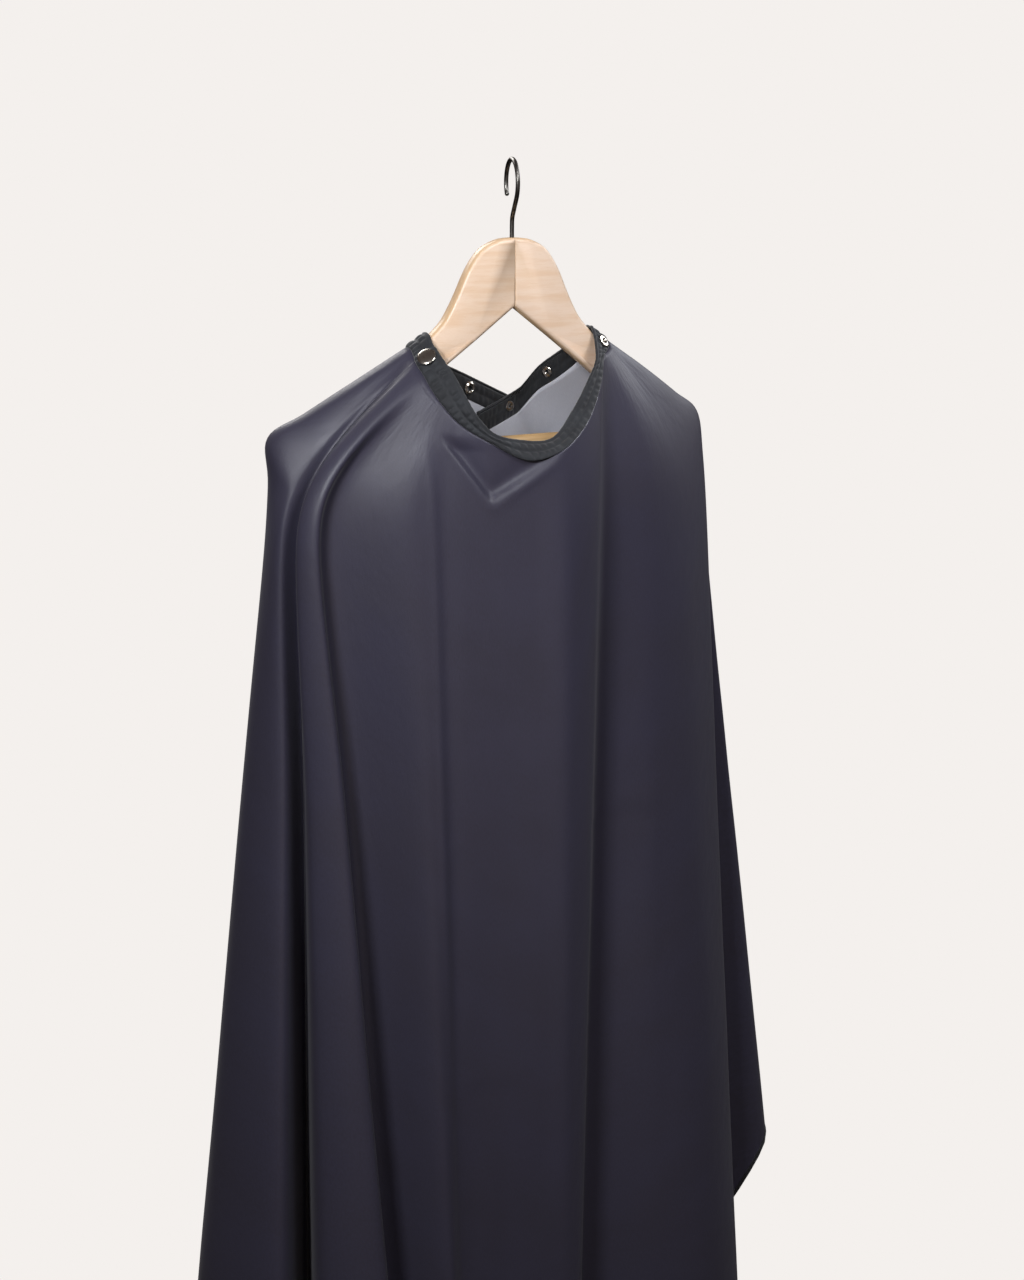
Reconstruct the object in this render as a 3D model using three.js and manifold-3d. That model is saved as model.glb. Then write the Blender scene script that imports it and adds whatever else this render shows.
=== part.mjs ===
// Barber cape on a wooden coat hanger, in millimetres, +Z up.
// The origin is the inside top of the hanger's hook, where a rail touches it.
// X runs along the hanger, the wearer's front faces -Y, the snap closure is at the back.
import * as THREE from 'three';
import { mergeVertices } from 'three/addons/utils/BufferGeometryUtils.js';
import Module from 'manifold-3d';

const wasm = await Module();
wasm.setup();

// ---------- driving dimensions ----------
const FIT_GAP = 0.3; // gap kept between faces that touch
const WIRE_R = 1.8; // hook wire
const HOOK_INNER_R = 16; // largest rail radius the hook takes
const HOOK_HEIGHT = 58; // rail contact to the top of the wood
const SHANK_DEPTH = 27; // shank inside the wood
const HEAD_R = 3.6; // upset head that keeps the shank in the wood
const HEAD_LENGTH = 3;
const SHANK_PLAY = 0.5; // radial play of the shank in its bore
const HOOK_TURN = 80; // degrees between the hook's plane and the hanger at rest

const HALF_SPAN = 190; // centre to the tip of each arm
const WOOD_T = 13; // thickness of the arms
const WOOD_ROUND = 3.6; // rounding of their long edges
const BOW = 36; // how far the tips sweep back
const APEX_Z = -112; // inner apex under the hook
const ARM_SLOPE = 0.65; // fall of the arms' top edge beyond the neck
const ARM_DEPTH = 35; // top edge to bottom edge of an arm
const BAR_R = 5.5; // trouser bar
const BAR_DROP = 14; // tip of the top edge to the bar's middle
const BAR_INSET = 24; // tip of an arm to the end of the bar
const DOWEL_R = 2.5;
const DOWEL_HALF = 12;
const DOWEL_Z = -101;
const JOINT_SPARE = 12; // length past the glue joint that is cut away
const NOTCH_X = 98; // strap notches on the arms
const NOTCH_DEPTH = 4;

const CLOTH_T = 2; // the panel solids; the real fabric is 0.3 mm
const SHOULDER_DROP = 38; // tip of the top edge to the level of the shoulder outline
const HEM_Z = -1005; // front middle of the hem
const LOW_RISE = 45; // level of the low outline above it
const OUTLINE_SPAN = 190; // half span that the outlines below are drawn for
const OUTLINE_BOW = 36; // and the bow of its arms
const OUTLINE_THICKNESS = 16; // and the thickness of an arm and the neckband together
const BINDING_W = 7; // folded binding around the hem
const BINDING_T = 2.6;
const BAND_LAYER = 0.8; // each of the neckband's three layers
const HINGE_GAP = 0.35; // half gap where the back panel folds away

const CAP_R = 7.5; // domed caps of the snaps
const CAP_H = 2.6;
const SOCKET_R = 5.6;
const SOCKET_H = 2;
const SOCKET_BORE_R = 3.1;
const SPRING_R = 0.3; // wire of the ring spring
const NUB_R = 2;
const STUD_BASE_H = 1;
const POST_R = 4.6;
const POST_H = 1;

const BAND_T = 3 * BAND_LAYER + 2 * FIT_GAP;
const BAR_HALF = HALF_SPAN - BAR_INSET;
const BAND_LIFT = 1.2; // gap between the neckband and the wood, which clears the snaps' posts
const CLOTH_LIFT = 2.3; // gap between cloth and wood at the control points
const SEAM_GAP = 2.2; // the panel starts this far below the neckband's seam
const WELD = 1000; // vertices are welded to a thousandth of a millimetre

// ---------- colours ----------
const finish = (color, roughness, metalness = 0) =>
  new THREE.MeshStandardMaterial({ color, roughness, metalness, side: THREE.DoubleSide });
const SLATE = finish(0x43434f, 0.55);
const BLACK = finish(0x16181a, 0.85);
const ELASTIC = finish(0x2a2a2c, 0.9);
const NICKEL = finish(0xb9b5ab, 0.25, 1);
const STEEL = finish(0x6f6c66, 0.35, 1);
const PALE_WOOD = finish(0xd9b795, 0.5);
const TAN_WOOD = finish(0xc99f6c, 0.5);

const v3 = (x, y, z) => new THREE.Vector3(x, y, z);
const mix = (a, b, t) => a.clone().lerp(b, t);

// ---------- hanger ----------
const bowY = (x) => BOW * (x / HALF_SPAN) ** 2;

/** Height of the top edge of the arms at x. */
const TOP_EDGE = [[0, -HOOK_HEIGHT], [13, -59.2], [26, -65], [34, -73.5], [41, -85], [47, -98], [53, -110],
  [61, -123], [75, -137]];
function topZ(x) {
  const a = Math.abs(x);
  const [lastX, lastZ] = TOP_EDGE.at(-1);
  if (a >= lastX) return lastZ - ARM_SLOPE * (a - lastX);
  const i = Math.max(1, TOP_EDGE.findIndex((p) => p[0] >= a));
  const [x0, z0] = TOP_EDGE[i - 1];
  const [x1, z1] = TOP_EDGE[i];
  return z0 + ((z1 - z0) * (a - x0)) / (x1 - x0);
}
const TIP_Z = topZ(HALF_SPAN);
const BAR_Z = TIP_Z - BAR_DROP;
const SHOULDER_Z = TIP_Z - SHOULDER_DROP;
const LOW_Z = HEM_Z + LOW_RISE;

function armOutline() {
  const s = new THREE.Shape();
  s.moveTo(-JOINT_SPARE, APEX_Z + JOINT_SPARE * 0.77);
  s.lineTo(-JOINT_SPARE, TOP_EDGE[1][1]);
  s.lineTo(0, TOP_EDGE[0][1]);
  s.splineThru(TOP_EDGE.slice(1).map(([x, z]) => new THREE.Vector2(x, z)));
  s.lineTo(NOTCH_X - 4, topZ(NOTCH_X - 4));
  s.quadraticCurveTo(NOTCH_X, topZ(NOTCH_X) - 2 * NOTCH_DEPTH, NOTCH_X + 5, topZ(NOTCH_X + 5));
  for (const back of [70, 50, 30, 6]) s.lineTo(HALF_SPAN - back, topZ(HALF_SPAN - back));
  s.quadraticCurveTo(HALF_SPAN + 1, TIP_Z - 1, HALF_SPAN, TIP_Z - 14);
  s.quadraticCurveTo(HALF_SPAN - 1, TIP_Z - 28, HALF_SPAN - 13, TIP_Z - 28);
  s.lineTo(HALF_SPAN - 27, TIP_Z - 27);
  const root = HALF_SPAN - 62;
  s.quadraticCurveTo(HALF_SPAN - 45, TIP_Z - 24, root, topZ(root) - ARM_DEPTH);
  for (const x of [96, 64]) s.lineTo(x, topZ(x) - ARM_DEPTH);
  for (const [x, z] of [[32, -136.5], [0, APEX_Z]]) s.lineTo(x, z);
  return s;
}

/** A closed geometry as a manifold solid. */
function solid(geometry) {
  const g = geometry.clone();
  g.deleteAttribute('normal');
  g.deleteAttribute('uv');
  const p = g.attributes.position;
  for (let i = 0; i < p.array.length; i++) p.array[i] = Math.round(p.array[i] * WELD) / WELD;
  const m = mergeVertices(g, 0.1 / WELD);
  const index = m.index.array;
  const triVerts = [];
  for (let i = 0; i < index.length; i += 3) {
    const [a, b, c] = index.slice(i, i + 3);
    if (a !== b && b !== c && c !== a) triVerts.push(a, b, c);
  }
  return new wasm.Manifold(new wasm.Mesh({
    numProp: 3,
    vertProperties: new Float32Array(m.attributes.position.array),
    triVerts: new Uint32Array(triVerts),
  }));
}

function geometryOf(manifold) {
  const { vertProperties, triVerts } = manifold.getMesh();
  const g = new THREE.BufferGeometry();
  g.setAttribute('position', new THREE.BufferAttribute(vertProperties, 3));
  g.setIndex(new THREE.BufferAttribute(triVerts, 1));
  return g;
}

function rod(radius, from, to, sides = 20) {
  const length = from.distanceTo(to);
  const g = new THREE.CylinderGeometry(radius, radius, length, sides);
  g.applyQuaternion(new THREE.Quaternion().setFromUnitVectors(v3(0, 1, 0), to.clone().sub(from).normalize()));
  return g.translate(...mix(from, to, 0.5).toArray());
}

function armGeometry(side) {
  const r = WOOD_ROUND;
  const g = new THREE.ExtrudeGeometry(armOutline(), {
    depth: WOOD_T - 2 * r, bevelThickness: r, bevelSize: r, bevelOffset: -r, bevelSegments: 3, curveSegments: 3,
  });
  g.rotateX(Math.PI / 2).translate(0, WOOD_T / 2 - r, 0);
  const p = g.attributes.position;
  for (let i = 0; i < p.count; i++) p.setY(i, p.getY(i) + bowY(p.getX(i)));
  let body = solid(g);
  const cutBox = new THREE.BoxGeometry(40, 60, 400).translate(-20 + FIT_GAP / 2, 0, -100);
  const bore = rod(WIRE_R + SHANK_PLAY, v3(0, 0, -40), v3(0, 0, -HOOK_HEIGHT - SHANK_DEPTH));
  const pocket = rod(HEAD_R + SHANK_PLAY, v3(0, 0, 1 - HOOK_HEIGHT - SHANK_DEPTH),
    v3(0, 0, -HOOK_HEIGHT - SHANK_DEPTH - HEAD_LENGTH - 1));
  const dowel = rod(DOWEL_R + FIT_GAP, v3(-1, 0, DOWEL_Z), v3(DOWEL_HALF + FIT_GAP, 0, DOWEL_Z));
  const seat = rod(BAR_R + FIT_GAP, v3(BAR_HALF - 60, bowY(BAR_HALF), BAR_Z), v3(BAR_HALF + FIT_GAP, bowY(BAR_HALF), BAR_Z));
  for (const cut of [cutBox, bore, pocket, dowel, seat]) body = body.subtract(solid(cut));
  const out = geometryOf(body);
  return side > 0 ? out : mirrorX(out);
}

function mirrorX(g) {
  const p = g.attributes.position;
  for (let i = 0; i < p.count; i++) p.setX(i, -p.getX(i));
  const index = g.index.array;
  for (let i = 0; i < index.length; i += 3) [index[i], index[i + 1]] = [index[i + 1], index[i]];
  return g;
}

// ---------- hook ----------
function hookGeometry() {
  const r = HOOK_INNER_R + WIRE_R;
  const cz = -HOOK_INNER_R;
  const on = (deg) => v3(r * Math.cos((deg * Math.PI) / 180), 0, cz + r * Math.sin((deg * Math.PI) / 180));
  const points = [];
  for (let deg = -35; deg <= 215; deg += 25) points.push(on(deg));
  points.push(v3(-6, 0, cz - r - 2.5), v3(-1, 0, cz - r - 9), v3(0, 0, cz - r - 16));
  points.push(v3(0, 0, -HOOK_HEIGHT - SHANK_DEPTH));
  const path = new THREE.CatmullRomCurve3(points);
  const ring = new THREE.Shape().absarc(0, 0, WIRE_R, 0, 2 * Math.PI);
  const wire = new THREE.ExtrudeGeometry(ring, { steps: 60, extrudePath: path, curveSegments: 5, bevelEnabled: false });
  const head = rod(HEAD_R, v3(0, 0, -HOOK_HEIGHT - SHANK_DEPTH + 0.4), v3(0, 0, -HOOK_HEIGHT - SHANK_DEPTH - HEAD_LENGTH));
  const joined = geometryOf(solid(wire).add(solid(head)));
  return joined.rotateZ((HOOK_TURN * Math.PI) / 180);
}

// ---------- the plane of the back left panel ----------
// The panel folds away about a line in its own plane, from the neck to the hem.
const HINGE_TOP = v3(-62, 38, -150);
const HINGE_LOW = v3(-120, 75, -1050);
const CLOSURE = v3(25, 72, -200);
const FLAP_N = HINGE_TOP.clone().sub(HINGE_LOW).cross(CLOSURE.clone().sub(HINGE_TOP)).normalize();
if (FLAP_N.y < 0) FLAP_N.negate();
const STACK = BAND_T + SOCKET_H + STUD_BASE_H + 3 * FIT_GAP; // left band to right band at the snap

function flap(x, z, inward = 0) {
  const y = HINGE_TOP.y - (FLAP_N.x * (x - HINGE_TOP.x) + FLAP_N.z * (z - HINGE_TOP.z)) / FLAP_N.y;
  return v3(x, y, z).addScaledVector(FLAP_N, -inward);
}
const hingeX = (z) => HINGE_TOP.x + ((HINGE_LOW.x - HINGE_TOP.x) * (z - HINGE_TOP.z)) / (HINGE_LOW.z - HINGE_TOP.z);

// ---------- drape ----------
// Each column is one line down the cape: the neckband's free edge, its seam with the
// cape, the outline at shoulder level, the outline low down, and the hem's height above the front's.
// arm is +1 or -1 where the column lies along the top of an arm, with its offset in y.
const bandEdge = (x) => HINGE_TOP.z - 0.471 * (x - HINGE_TOP.x); // free edge on the flap
const BAND_DROP = 20; // free edge to seam on the flap
function flapColumn(name, neckX, shoulderX, lowX, hem) {
  return {
    name, free: flap(neckX, bandEdge(neckX)), seam: flap(neckX, bandEdge(neckX) - BAND_DROP),
    shoulder: flap(shoulderX, SHOULDER_Z), low: flap(lowX, LOW_Z), hem: HEM_Z + hem,
  };
}
function tailColumn(name, neckX, freeZ, shoulderX, lowX, hem) {
  return {
    name, free: flap(neckX, freeZ, STACK), seam: flap(neckX, freeZ - BAND_DROP, STACK),
    shoulder: flap(shoulderX, SHOULDER_Z, STACK), low: flap(lowX, LOW_Z, STACK), hem: HEM_Z + hem,
  };
}
function column(name, free, seam, shoulder, low, hem, arm = 0, offset = 0) {
  const outline = ([x, y], z) => v3((x * HALF_SPAN) / OUTLINE_SPAN, y, z);
  return {
    name, free: neckPoint(free), seam: neckPoint(seam), shoulder: outline(shoulder, SHOULDER_Z), low: outline(low, LOW_Z),
    hem: HEM_Z + hem, arm, offset,
  };
}
const NECK_LIFT = BAND_T / 2 + BAND_LIFT;
const ARM_EDGE = WOOD_T / 2 - 0.4; // offset of the columns that run along an arm's edges
const ARM_BEHIND = WOOD_T / 2 + 3; // offset of the column that falls behind an arm
const onArm = (x, offset) => v3(x, bowY(x) + offset, topZ(x) + NECK_LIFT);
const NECK_EDGE = WOOD_T / 2 - 1.9; // offset of the neckband's columns on an arm
/** A point of the neck's outline, moved with the arms that it passes. */
function neckPoint(p) {
  if (!Array.isArray(p)) return p;
  const [x, y, z] = p;
  const bowShift = bowY(x) - OUTLINE_BOW * (x / OUTLINE_SPAN) ** 2;
  return v3(x, y + bowShift + (Math.sign(y - bowY(x)) * (WOOD_T + BAND_T - OUTLINE_THICKNESS)) / 2, z);
}
const COLUMNS = [
  flapColumn('back_edge', 37, 42, 62, 65),
  flapColumn('flap_middle', -14, -14, -28, 55),
  flapColumn('flap_hinge', hingeX(-158), hingeX(SHOULDER_Z), hingeX(LOW_Z), 45),
  column('back_left', [-66, 30, -146], [-71, 31, -164], [-112, 52], [-165, 110], 33),
  column('back_left_valley', [-70, 19, -139.5], [-80, 21.5, -153], [-165, 51], [-216, 80], 20),
  column('left_tip_back', onArm(-72, NECK_EDGE), onArm(-87, NECK_EDGE + 0.2), [-192, 46], [-262, 98], 5, -1, ARM_EDGE),
  column('left_side_ridge', onArm(-72, 0.2 - NECK_EDGE), onArm(-87, -NECK_EDGE), [-196.5, 28], [-280, 50], -10, -1, -ARM_EDGE),
  column('left_side_front', [-72, -8, -138.5], [-87, -4.5, -147.5], [-192, 8], [-232, -25], -20),
  column('slit', [-71.5, -13, -141], [-88, -9, -150], [-179, 6], [-190, 30], -25),
  column('left_fold_back', [-71, -18, -144.5], [-88, -14, -153.5], [-187, -12], [-200, -50], -35),
  column('left_fold_edge', [-69, -26, -151], [-86, -22, -160], [-177, -24], [-150, -72], -45),
  column('left_valley', [-66, -33, -158], [-83, -30, -170], [-167, -12], [-138, -26], -45),
  column('left_ridge', [-61, -42, -172], [-76, -38, -183], [-108, -44], [-90, -66], -30),
  column('pressed_line', [-55, -50, -187], [-66, -46, -196], [-80, -52], [-75, -58], -20),
  column('centre_left', [-42, -56, -203], [-46, -57, -210], [-49, -60], [-38, -58], -5),
  column('centre', [-20, -57, -210], [-15, -67, -225], [-12, -68], [0, -66], 0),
  column('centre_right', [8, -56, -211], [12, -68, -219], [14, -73], [19, -72], -5),
  column('neck_right', [32, -46, -191], [42, -53, -200], [31, -69], [27, -72], -10),
  column('right_ridge', [53, -34, -167], [66, -30, -171], [47, -61], [37, -68], -15),
  column('right_valley', [64, -24, -155], [76, -14, -154], [66, -42], [58, -34], -25),
  column('right_panel', [69, -13, -144], [83, -7, -150], [118, -32], [125, -54], -45),
  column('right_panel_side', [71, -7, -138.5], [87, -2, -147.5], [160, -10], [185, -58], -75),
  column('right_fold_edge', onArm(72, -NECK_EDGE), onArm(87, -NECK_EDGE - 0.2), [194, 20], [219, -36], -90, 1, -ARM_EDGE),
  column('right_deep_valley', onArm(72, 0), onArm(87.5, 0), [197, 30], [196, 0], -70, 1, 0),
  column('right_lobe', onArm(72, NECK_EDGE), onArm(87, NECK_EDGE + 0.2), [198, 38], [285, 5], 70, 1, ARM_EDGE - 0.5),
  column('right_tip_back', [71, 14.5, -136], [84, 17, -147.5], [195, 45], [278, 37], 83, 1, ARM_BEHIND),
  column('lobe_back', [70, 20, -140], [79, 23, -154], [182, 53], [256, 68], 90),
  column('back_right_valley', [67, 29, -147], [72, 31, -165], [158, 56], [214, 72], 85),
  column('back_right_ridge', [59, 42, -157], [61, 44, -178], [122, 64], [180, 122], 80),
  column('back_right_inner', [51, 56, -168], [51, 58, -189], [92, 73], [140, 107], 75),
  tailColumn('overlap_start', 37, -187, 66, 100, 70),
  tailColumn('overlap_snap', 30, -190, 54, 80, 69),
  tailColumn('overlap_middle', 13, -196, 30, 44, 67),
  tailColumn('back_edge_inner', -9, -203, 2, 4, 65),
];
const FLAP_END = 2; // index of the hinge column

/** Control points of a column from its seam down to its hem. */
function spine(c) {
  const hem = mix(c.shoulder, c.low, (c.hem - SHOULDER_Z) / (LOW_Z - SHOULDER_Z));
  const below = [c.shoulder, mix(c.shoulder, hem, 0.33), mix(c.shoulder, hem, 0.67), hem];
  if (!c.arm) return [c.seam, mix(c.seam, c.shoulder, 0.35), mix(c.seam, c.shoulder, 0.7),
    mix(c.seam, c.shoulder, 0.9), ...below];
  const fall = Math.abs(c.offset) > WOOD_T / 2 ? WOOD_ROUND : 0;
  const along = (x, drop) => v3(c.arm * x, bowY(x) + c.offset, topZ(x) + CLOTH_T / 2 + CLOTH_LIFT - drop - fall);
  return [c.seam, along(125, 0), along(HALF_SPAN - 24, 0), along(HALF_SPAN + 3, 1), ...below];
}
const ROWS = [0, 0.5, 1, 1.5, 2, 2.5, 3, 3.5, 4, 4.5, 5, 6, 7]; // places down a spine

/** Points of a grid through control lines: rows of points, each an array along the cape. */
function through(lines, places) {
  const curves = lines.map((line) => new THREE.CatmullRomCurve3(line, false, 'centripetal'));
  return places.map((u) => curves.map((curve) => curve.getPoint(u / (curve.points.length - 1))));
}
function refine(row, spans) {
  const curve = new THREE.CatmullRomCurve3(row, false, 'centripetal');
  const n = (row.length - 1) * spans;
  return Array.from({ length: n + 1 }, (_, i) => curve.getPoint(i / n));
}

const STEPS = 2; // grid steps between two columns
const CLOTH = through(COLUMNS.map(spine), ROWS).map((row) => refine(row, STEPS));
const BAND = through(COLUMNS.map((c) => [c.free, mix(c.free, c.seam, 0.5), c.seam]), [0, 1, 2])
  .map((row) => refine(row, STEPS));

/** Outward unit normals of a grid. */
function gridNormals(grid) {
  const at = (i, j) => grid[Math.min(Math.max(i, 0), grid.length - 1)][Math.min(Math.max(j, 0), grid[0].length - 1)];
  return grid.map((row, i) => row.map((_, j) => at(i, j - 1).clone().sub(at(i, j + 1))
    .cross(at(i + 1, j).clone().sub(at(i - 1, j))).normalize()));
}

/** Closed shell between two offsets of a grid. */
function shell(grid, normals, outer, inner) {
  const rows = grid.length;
  const cols = grid[0].length;
  const position = [];
  for (const offset of [outer, inner]) {
    grid.forEach((row, i) => row.forEach((p, j) => position.push(...p.clone().addScaledVector(normals[i][j], offset).toArray())));
  }
  const id = (side, i, j) => side * rows * cols + i * cols + j;
  const index = [];
  const quad = (a, b, c, d) => index.push(a, b, c, a, c, d);
  for (let i = 0; i < rows - 1; i++) {
    for (let j = 0; j < cols - 1; j++) {
      quad(id(0, i, j), id(0, i + 1, j), id(0, i + 1, j + 1), id(0, i, j + 1));
      quad(id(1, i, j), id(1, i, j + 1), id(1, i + 1, j + 1), id(1, i + 1, j));
    }
    quad(id(0, i, 0), id(1, i, 0), id(1, i + 1, 0), id(0, i + 1, 0));
    quad(id(0, i, cols - 1), id(0, i + 1, cols - 1), id(1, i + 1, cols - 1), id(1, i, cols - 1));
  }
  for (let j = 0; j < cols - 1; j++) {
    quad(id(0, 0, j), id(0, 0, j + 1), id(1, 0, j + 1), id(1, 0, j));
    quad(id(0, rows - 1, j), id(1, rows - 1, j), id(1, rows - 1, j + 1), id(0, rows - 1, j + 1));
  }
  const g = new THREE.BufferGeometry();
  g.setAttribute('position', new THREE.Float32BufferAttribute(position, 3));
  g.setIndex(index);
  return g;
}

/** The columns from one index to another, with the ends drawn in by a gap. */
function stretch(grid, from, to, gapFrom, gapTo) {
  return grid.map((row) => {
    const part = row.slice(from * STEPS, to * STEPS + 1).map((p) => p.clone());
    const pull = (p, next, gap) => p.addScaledVector(next.clone().sub(p).normalize(), gap);
    if (gapFrom) pull(part[0], part[1], gapFrom);
    if (gapTo) pull(part.at(-1), part.at(-2), gapTo);
    return part;
  });
}

/** A closed shell over one span of columns; both spans share their normals at the hinge. */
function spanShell(grid, [from, to, gapFrom, gapTo], outer, inner) {
  const normals = gridNormals(grid).map((row) => row.slice(from * STEPS, to * STEPS + 1));
  return shell(stretch(grid, from, to, gapFrom, gapTo), normals, outer, inner);
}
const FLAP_SPAN = [0, FLAP_END, 0, HINGE_GAP];
const BODY_SPAN = [FLAP_END, COLUMNS.length - 1, HINGE_GAP, 0];

const clothShell = (grid, span, thickness) => spanShell(grid, span, thickness / 2, -thickness / 2);

/** Cloth rows from just below the seam to just above the binding. */
function panelGrid() {
  const rows = CLOTH.map((row) => row.map((p) => p.clone()));
  rows[0].forEach((p, j) => p.addScaledVector(CLOTH[1][j].clone().sub(p).normalize(), SEAM_GAP));
  const last = rows.length - 1;
  rows[last].forEach((p, j) => p.addScaledVector(CLOTH[last - 1][j].clone().sub(p).normalize(), BINDING_W + 5 * FIT_GAP));
  return rows;
}
function bindingGrid() {
  const last = CLOTH.length - 1;
  const above = CLOTH[last].map((p, j) => p.clone().addScaledVector(CLOTH[last - 1][j].clone().sub(p).normalize(), BINDING_W));
  return [above, CLOTH[last]];
}

// ---------- neckband layers ----------
function bandShell(span, layer) {
  const middle = (BAND_LAYER + FIT_GAP) * layer;
  return spanShell(BAND, span, middle + BAND_LAYER / 2, middle - BAND_LAYER / 2);
}

// ---------- snaps ----------
/** Place and outward direction on the middle of the band at a column position. */
const BAND_NORMALS = gridNormals(BAND);
function bandFrame(position) {
  const j = position * STEPS;
  const a = Math.floor(j);
  const b = Math.min(a + 1, BAND[1].length - 1);
  const point = mix(BAND[1][a], BAND[1][b], j - a);
  const normal = mix(BAND_NORMALS[1][a], BAND_NORMALS[1][b], j - a).normalize();
  return { point, normal };
}
function turned(profile, sides = 16) {
  return new THREE.LatheGeometry(profile.map(([r, h]) => new THREE.Vector2(r, h)), sides);
}
/** A turned piece whose +Y runs outward from the band, starting at a height above its middle. */
function onBand(geometry, { point, normal }, height, flip = false) {
  const out = flip ? normal.clone().negate() : normal;
  geometry.applyQuaternion(new THREE.Quaternion().setFromUnitVectors(v3(0, 1, 0), out));
  return geometry.translate(...point.clone().addScaledVector(out, height).toArray());
}
const SEAT = BAND_T / 2 + FIT_GAP;
const capGeometry = () => turned([[0, 0], [CAP_R - 0.4, 0], [CAP_R, 0.5], [CAP_R * 0.86, CAP_H * 0.72], [CAP_R * 0.5, CAP_H * 0.95], [0, CAP_H]]);
const socketGeometry = () => turned([[SOCKET_BORE_R, 0], [SOCKET_R, 0], [SOCKET_R, SOCKET_H * 0.5], [SOCKET_R - 0.8, SOCKET_H],
  [SOCKET_BORE_R, SOCKET_H], [SOCKET_BORE_R, 0]]);
const springGeometry = () => {
  const r = SOCKET_BORE_R - FIT_GAP - SPRING_R;
  const ring = Array.from({ length: 7 }, (_, i) => {
    const a = (i / 6) * 2 * Math.PI;
    return [r + SPRING_R * Math.cos(a), SOCKET_H / 2 - SPRING_R * Math.sin(a)];
  });
  ring[6] = [...ring[0]];
  return turned(ring.reverse(), 14);
};
const studGeometry = () => turned([[0, 0], [SOCKET_R, 0], [SOCKET_R, STUD_BASE_H * 0.6], [SOCKET_R - 0.6, STUD_BASE_H],
  [NUB_R, STUD_BASE_H], [NUB_R, STUD_BASE_H + 1.2], [NUB_R * 0.6, STUD_BASE_H + 1.7], [0, STUD_BASE_H + 1.8]]);
const postGeometry = () => turned([[1.3, 0], [POST_R, 0], [POST_R - 0.3, POST_H * 0.7], [2.4, POST_H], [1.3, POST_H * 0.5], [1.3, 0]]);

// Places along the band, counted in columns from the left end, and how far the band curves
// away over 10 mm on its outside and on its inside, which lifts a flat snap off it.
const SOCKET_PLACES = [[8.8, 0.72, 1.28], [3.4, 1.95, 1.28], [1.62, 0, 0], [1, 0, 0], [0.24, 0, 0]]; // shoulder to closure
const STUD_PLACES = [[28.4, 1.28], [26.7, 1.6], [20.9, 1.28]]; // beside the closure to shoulder
const rise = (curve, radius) => curve * (radius / 10) ** 2;

// ---------- assembly ----------
const object = new THREE.Group();
function add(name, geometry, material) {
  const mesh = new THREE.Mesh(geometry, material);
  mesh.name = name;
  object.add(mesh);
}

add('hook', hookGeometry(), STEEL);
add('hanger_left_arm', armGeometry(-1), PALE_WOOD);
add('hanger_right_arm', armGeometry(1), PALE_WOOD);
add('joint_dowel', rod(DOWEL_R, v3(-DOWEL_HALF, 0, DOWEL_Z), v3(DOWEL_HALF, 0, DOWEL_Z)), TAN_WOOD);
add('trouser_bar', rod(BAR_R, v3(-BAR_HALF, bowY(BAR_HALF), BAR_Z), v3(BAR_HALF, bowY(BAR_HALF), BAR_Z), 16), TAN_WOOD);

const panel = panelGrid();
add('cape_panel', clothShell(panel, BODY_SPAN, CLOTH_T), SLATE);
add('back_left_panel', clothShell(panel, FLAP_SPAN, CLOTH_T), SLATE);
add('hem_binding', clothShell(bindingGrid(), BODY_SPAN, BINDING_T), BLACK);
add('hem_binding_back_left', clothShell(bindingGrid(), FLAP_SPAN, BINDING_T), BLACK);
const LAYERS = [['outer', 1, BLACK], ['elastic', 0, ELASTIC], ['facing', -1, BLACK]];
for (const [layer, place, material] of LAYERS) {
  add(`neckband_${layer}`, bandShell(BODY_SPAN, place), material);
  add(`neckband_left_end_${layer}`, bandShell(FLAP_SPAN, place), material);
}
SOCKET_PLACES.forEach(([place, outside, inside], i) => {
  const frame = bandFrame(place);
  add(`snap_cap_${i + 1}`, onBand(capGeometry(), frame, SEAT + rise(outside, CAP_R)), NICKEL);
  add(`snap_socket_${i + 1}`, onBand(socketGeometry(), frame, SEAT + rise(inside, SOCKET_R), true), NICKEL);
  add(`socket_spring_${i + 1}`, onBand(springGeometry(), frame, SEAT + rise(inside, SOCKET_R), true), STEEL);
});
const closed = bandFrame(SOCKET_PLACES.at(-1)[0]);
const engaged = { point: closed.point.clone().addScaledVector(closed.normal, -STACK), normal: closed.normal };
const studs = [[engaged, 0], ...STUD_PLACES.map(([place, curve]) => [bandFrame(place), curve])];
studs.forEach(([frame, curve], i) => {
  const height = SEAT + rise(curve, SOCKET_R);
  add(`snap_stud_${i + 1}`, onBand(studGeometry(), frame, height), NICKEL);
  add(`stud_post_${i + 1}`, onBand(postGeometry(), frame, height, true), NICKEL);
});

export default object;
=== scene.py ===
"""A barber cape on a wooden coat hanger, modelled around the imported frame.

The frame is in metres, +Z up, with its origin at the inside top of the hanger's hook. The cape is
described by columns that run from the neckband's free edge to the hem; every soft piece is a fine
surface through those columns, so the cloth, the neckband and the hem binding always meet.
"""

import json
import logging
import math
from dataclasses import dataclass, field
from enum import Enum
from typing import Any, Callable, Iterable, Sequence

import bpy
import numpy as np
from mathutils import Matrix, Vector, noise

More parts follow.
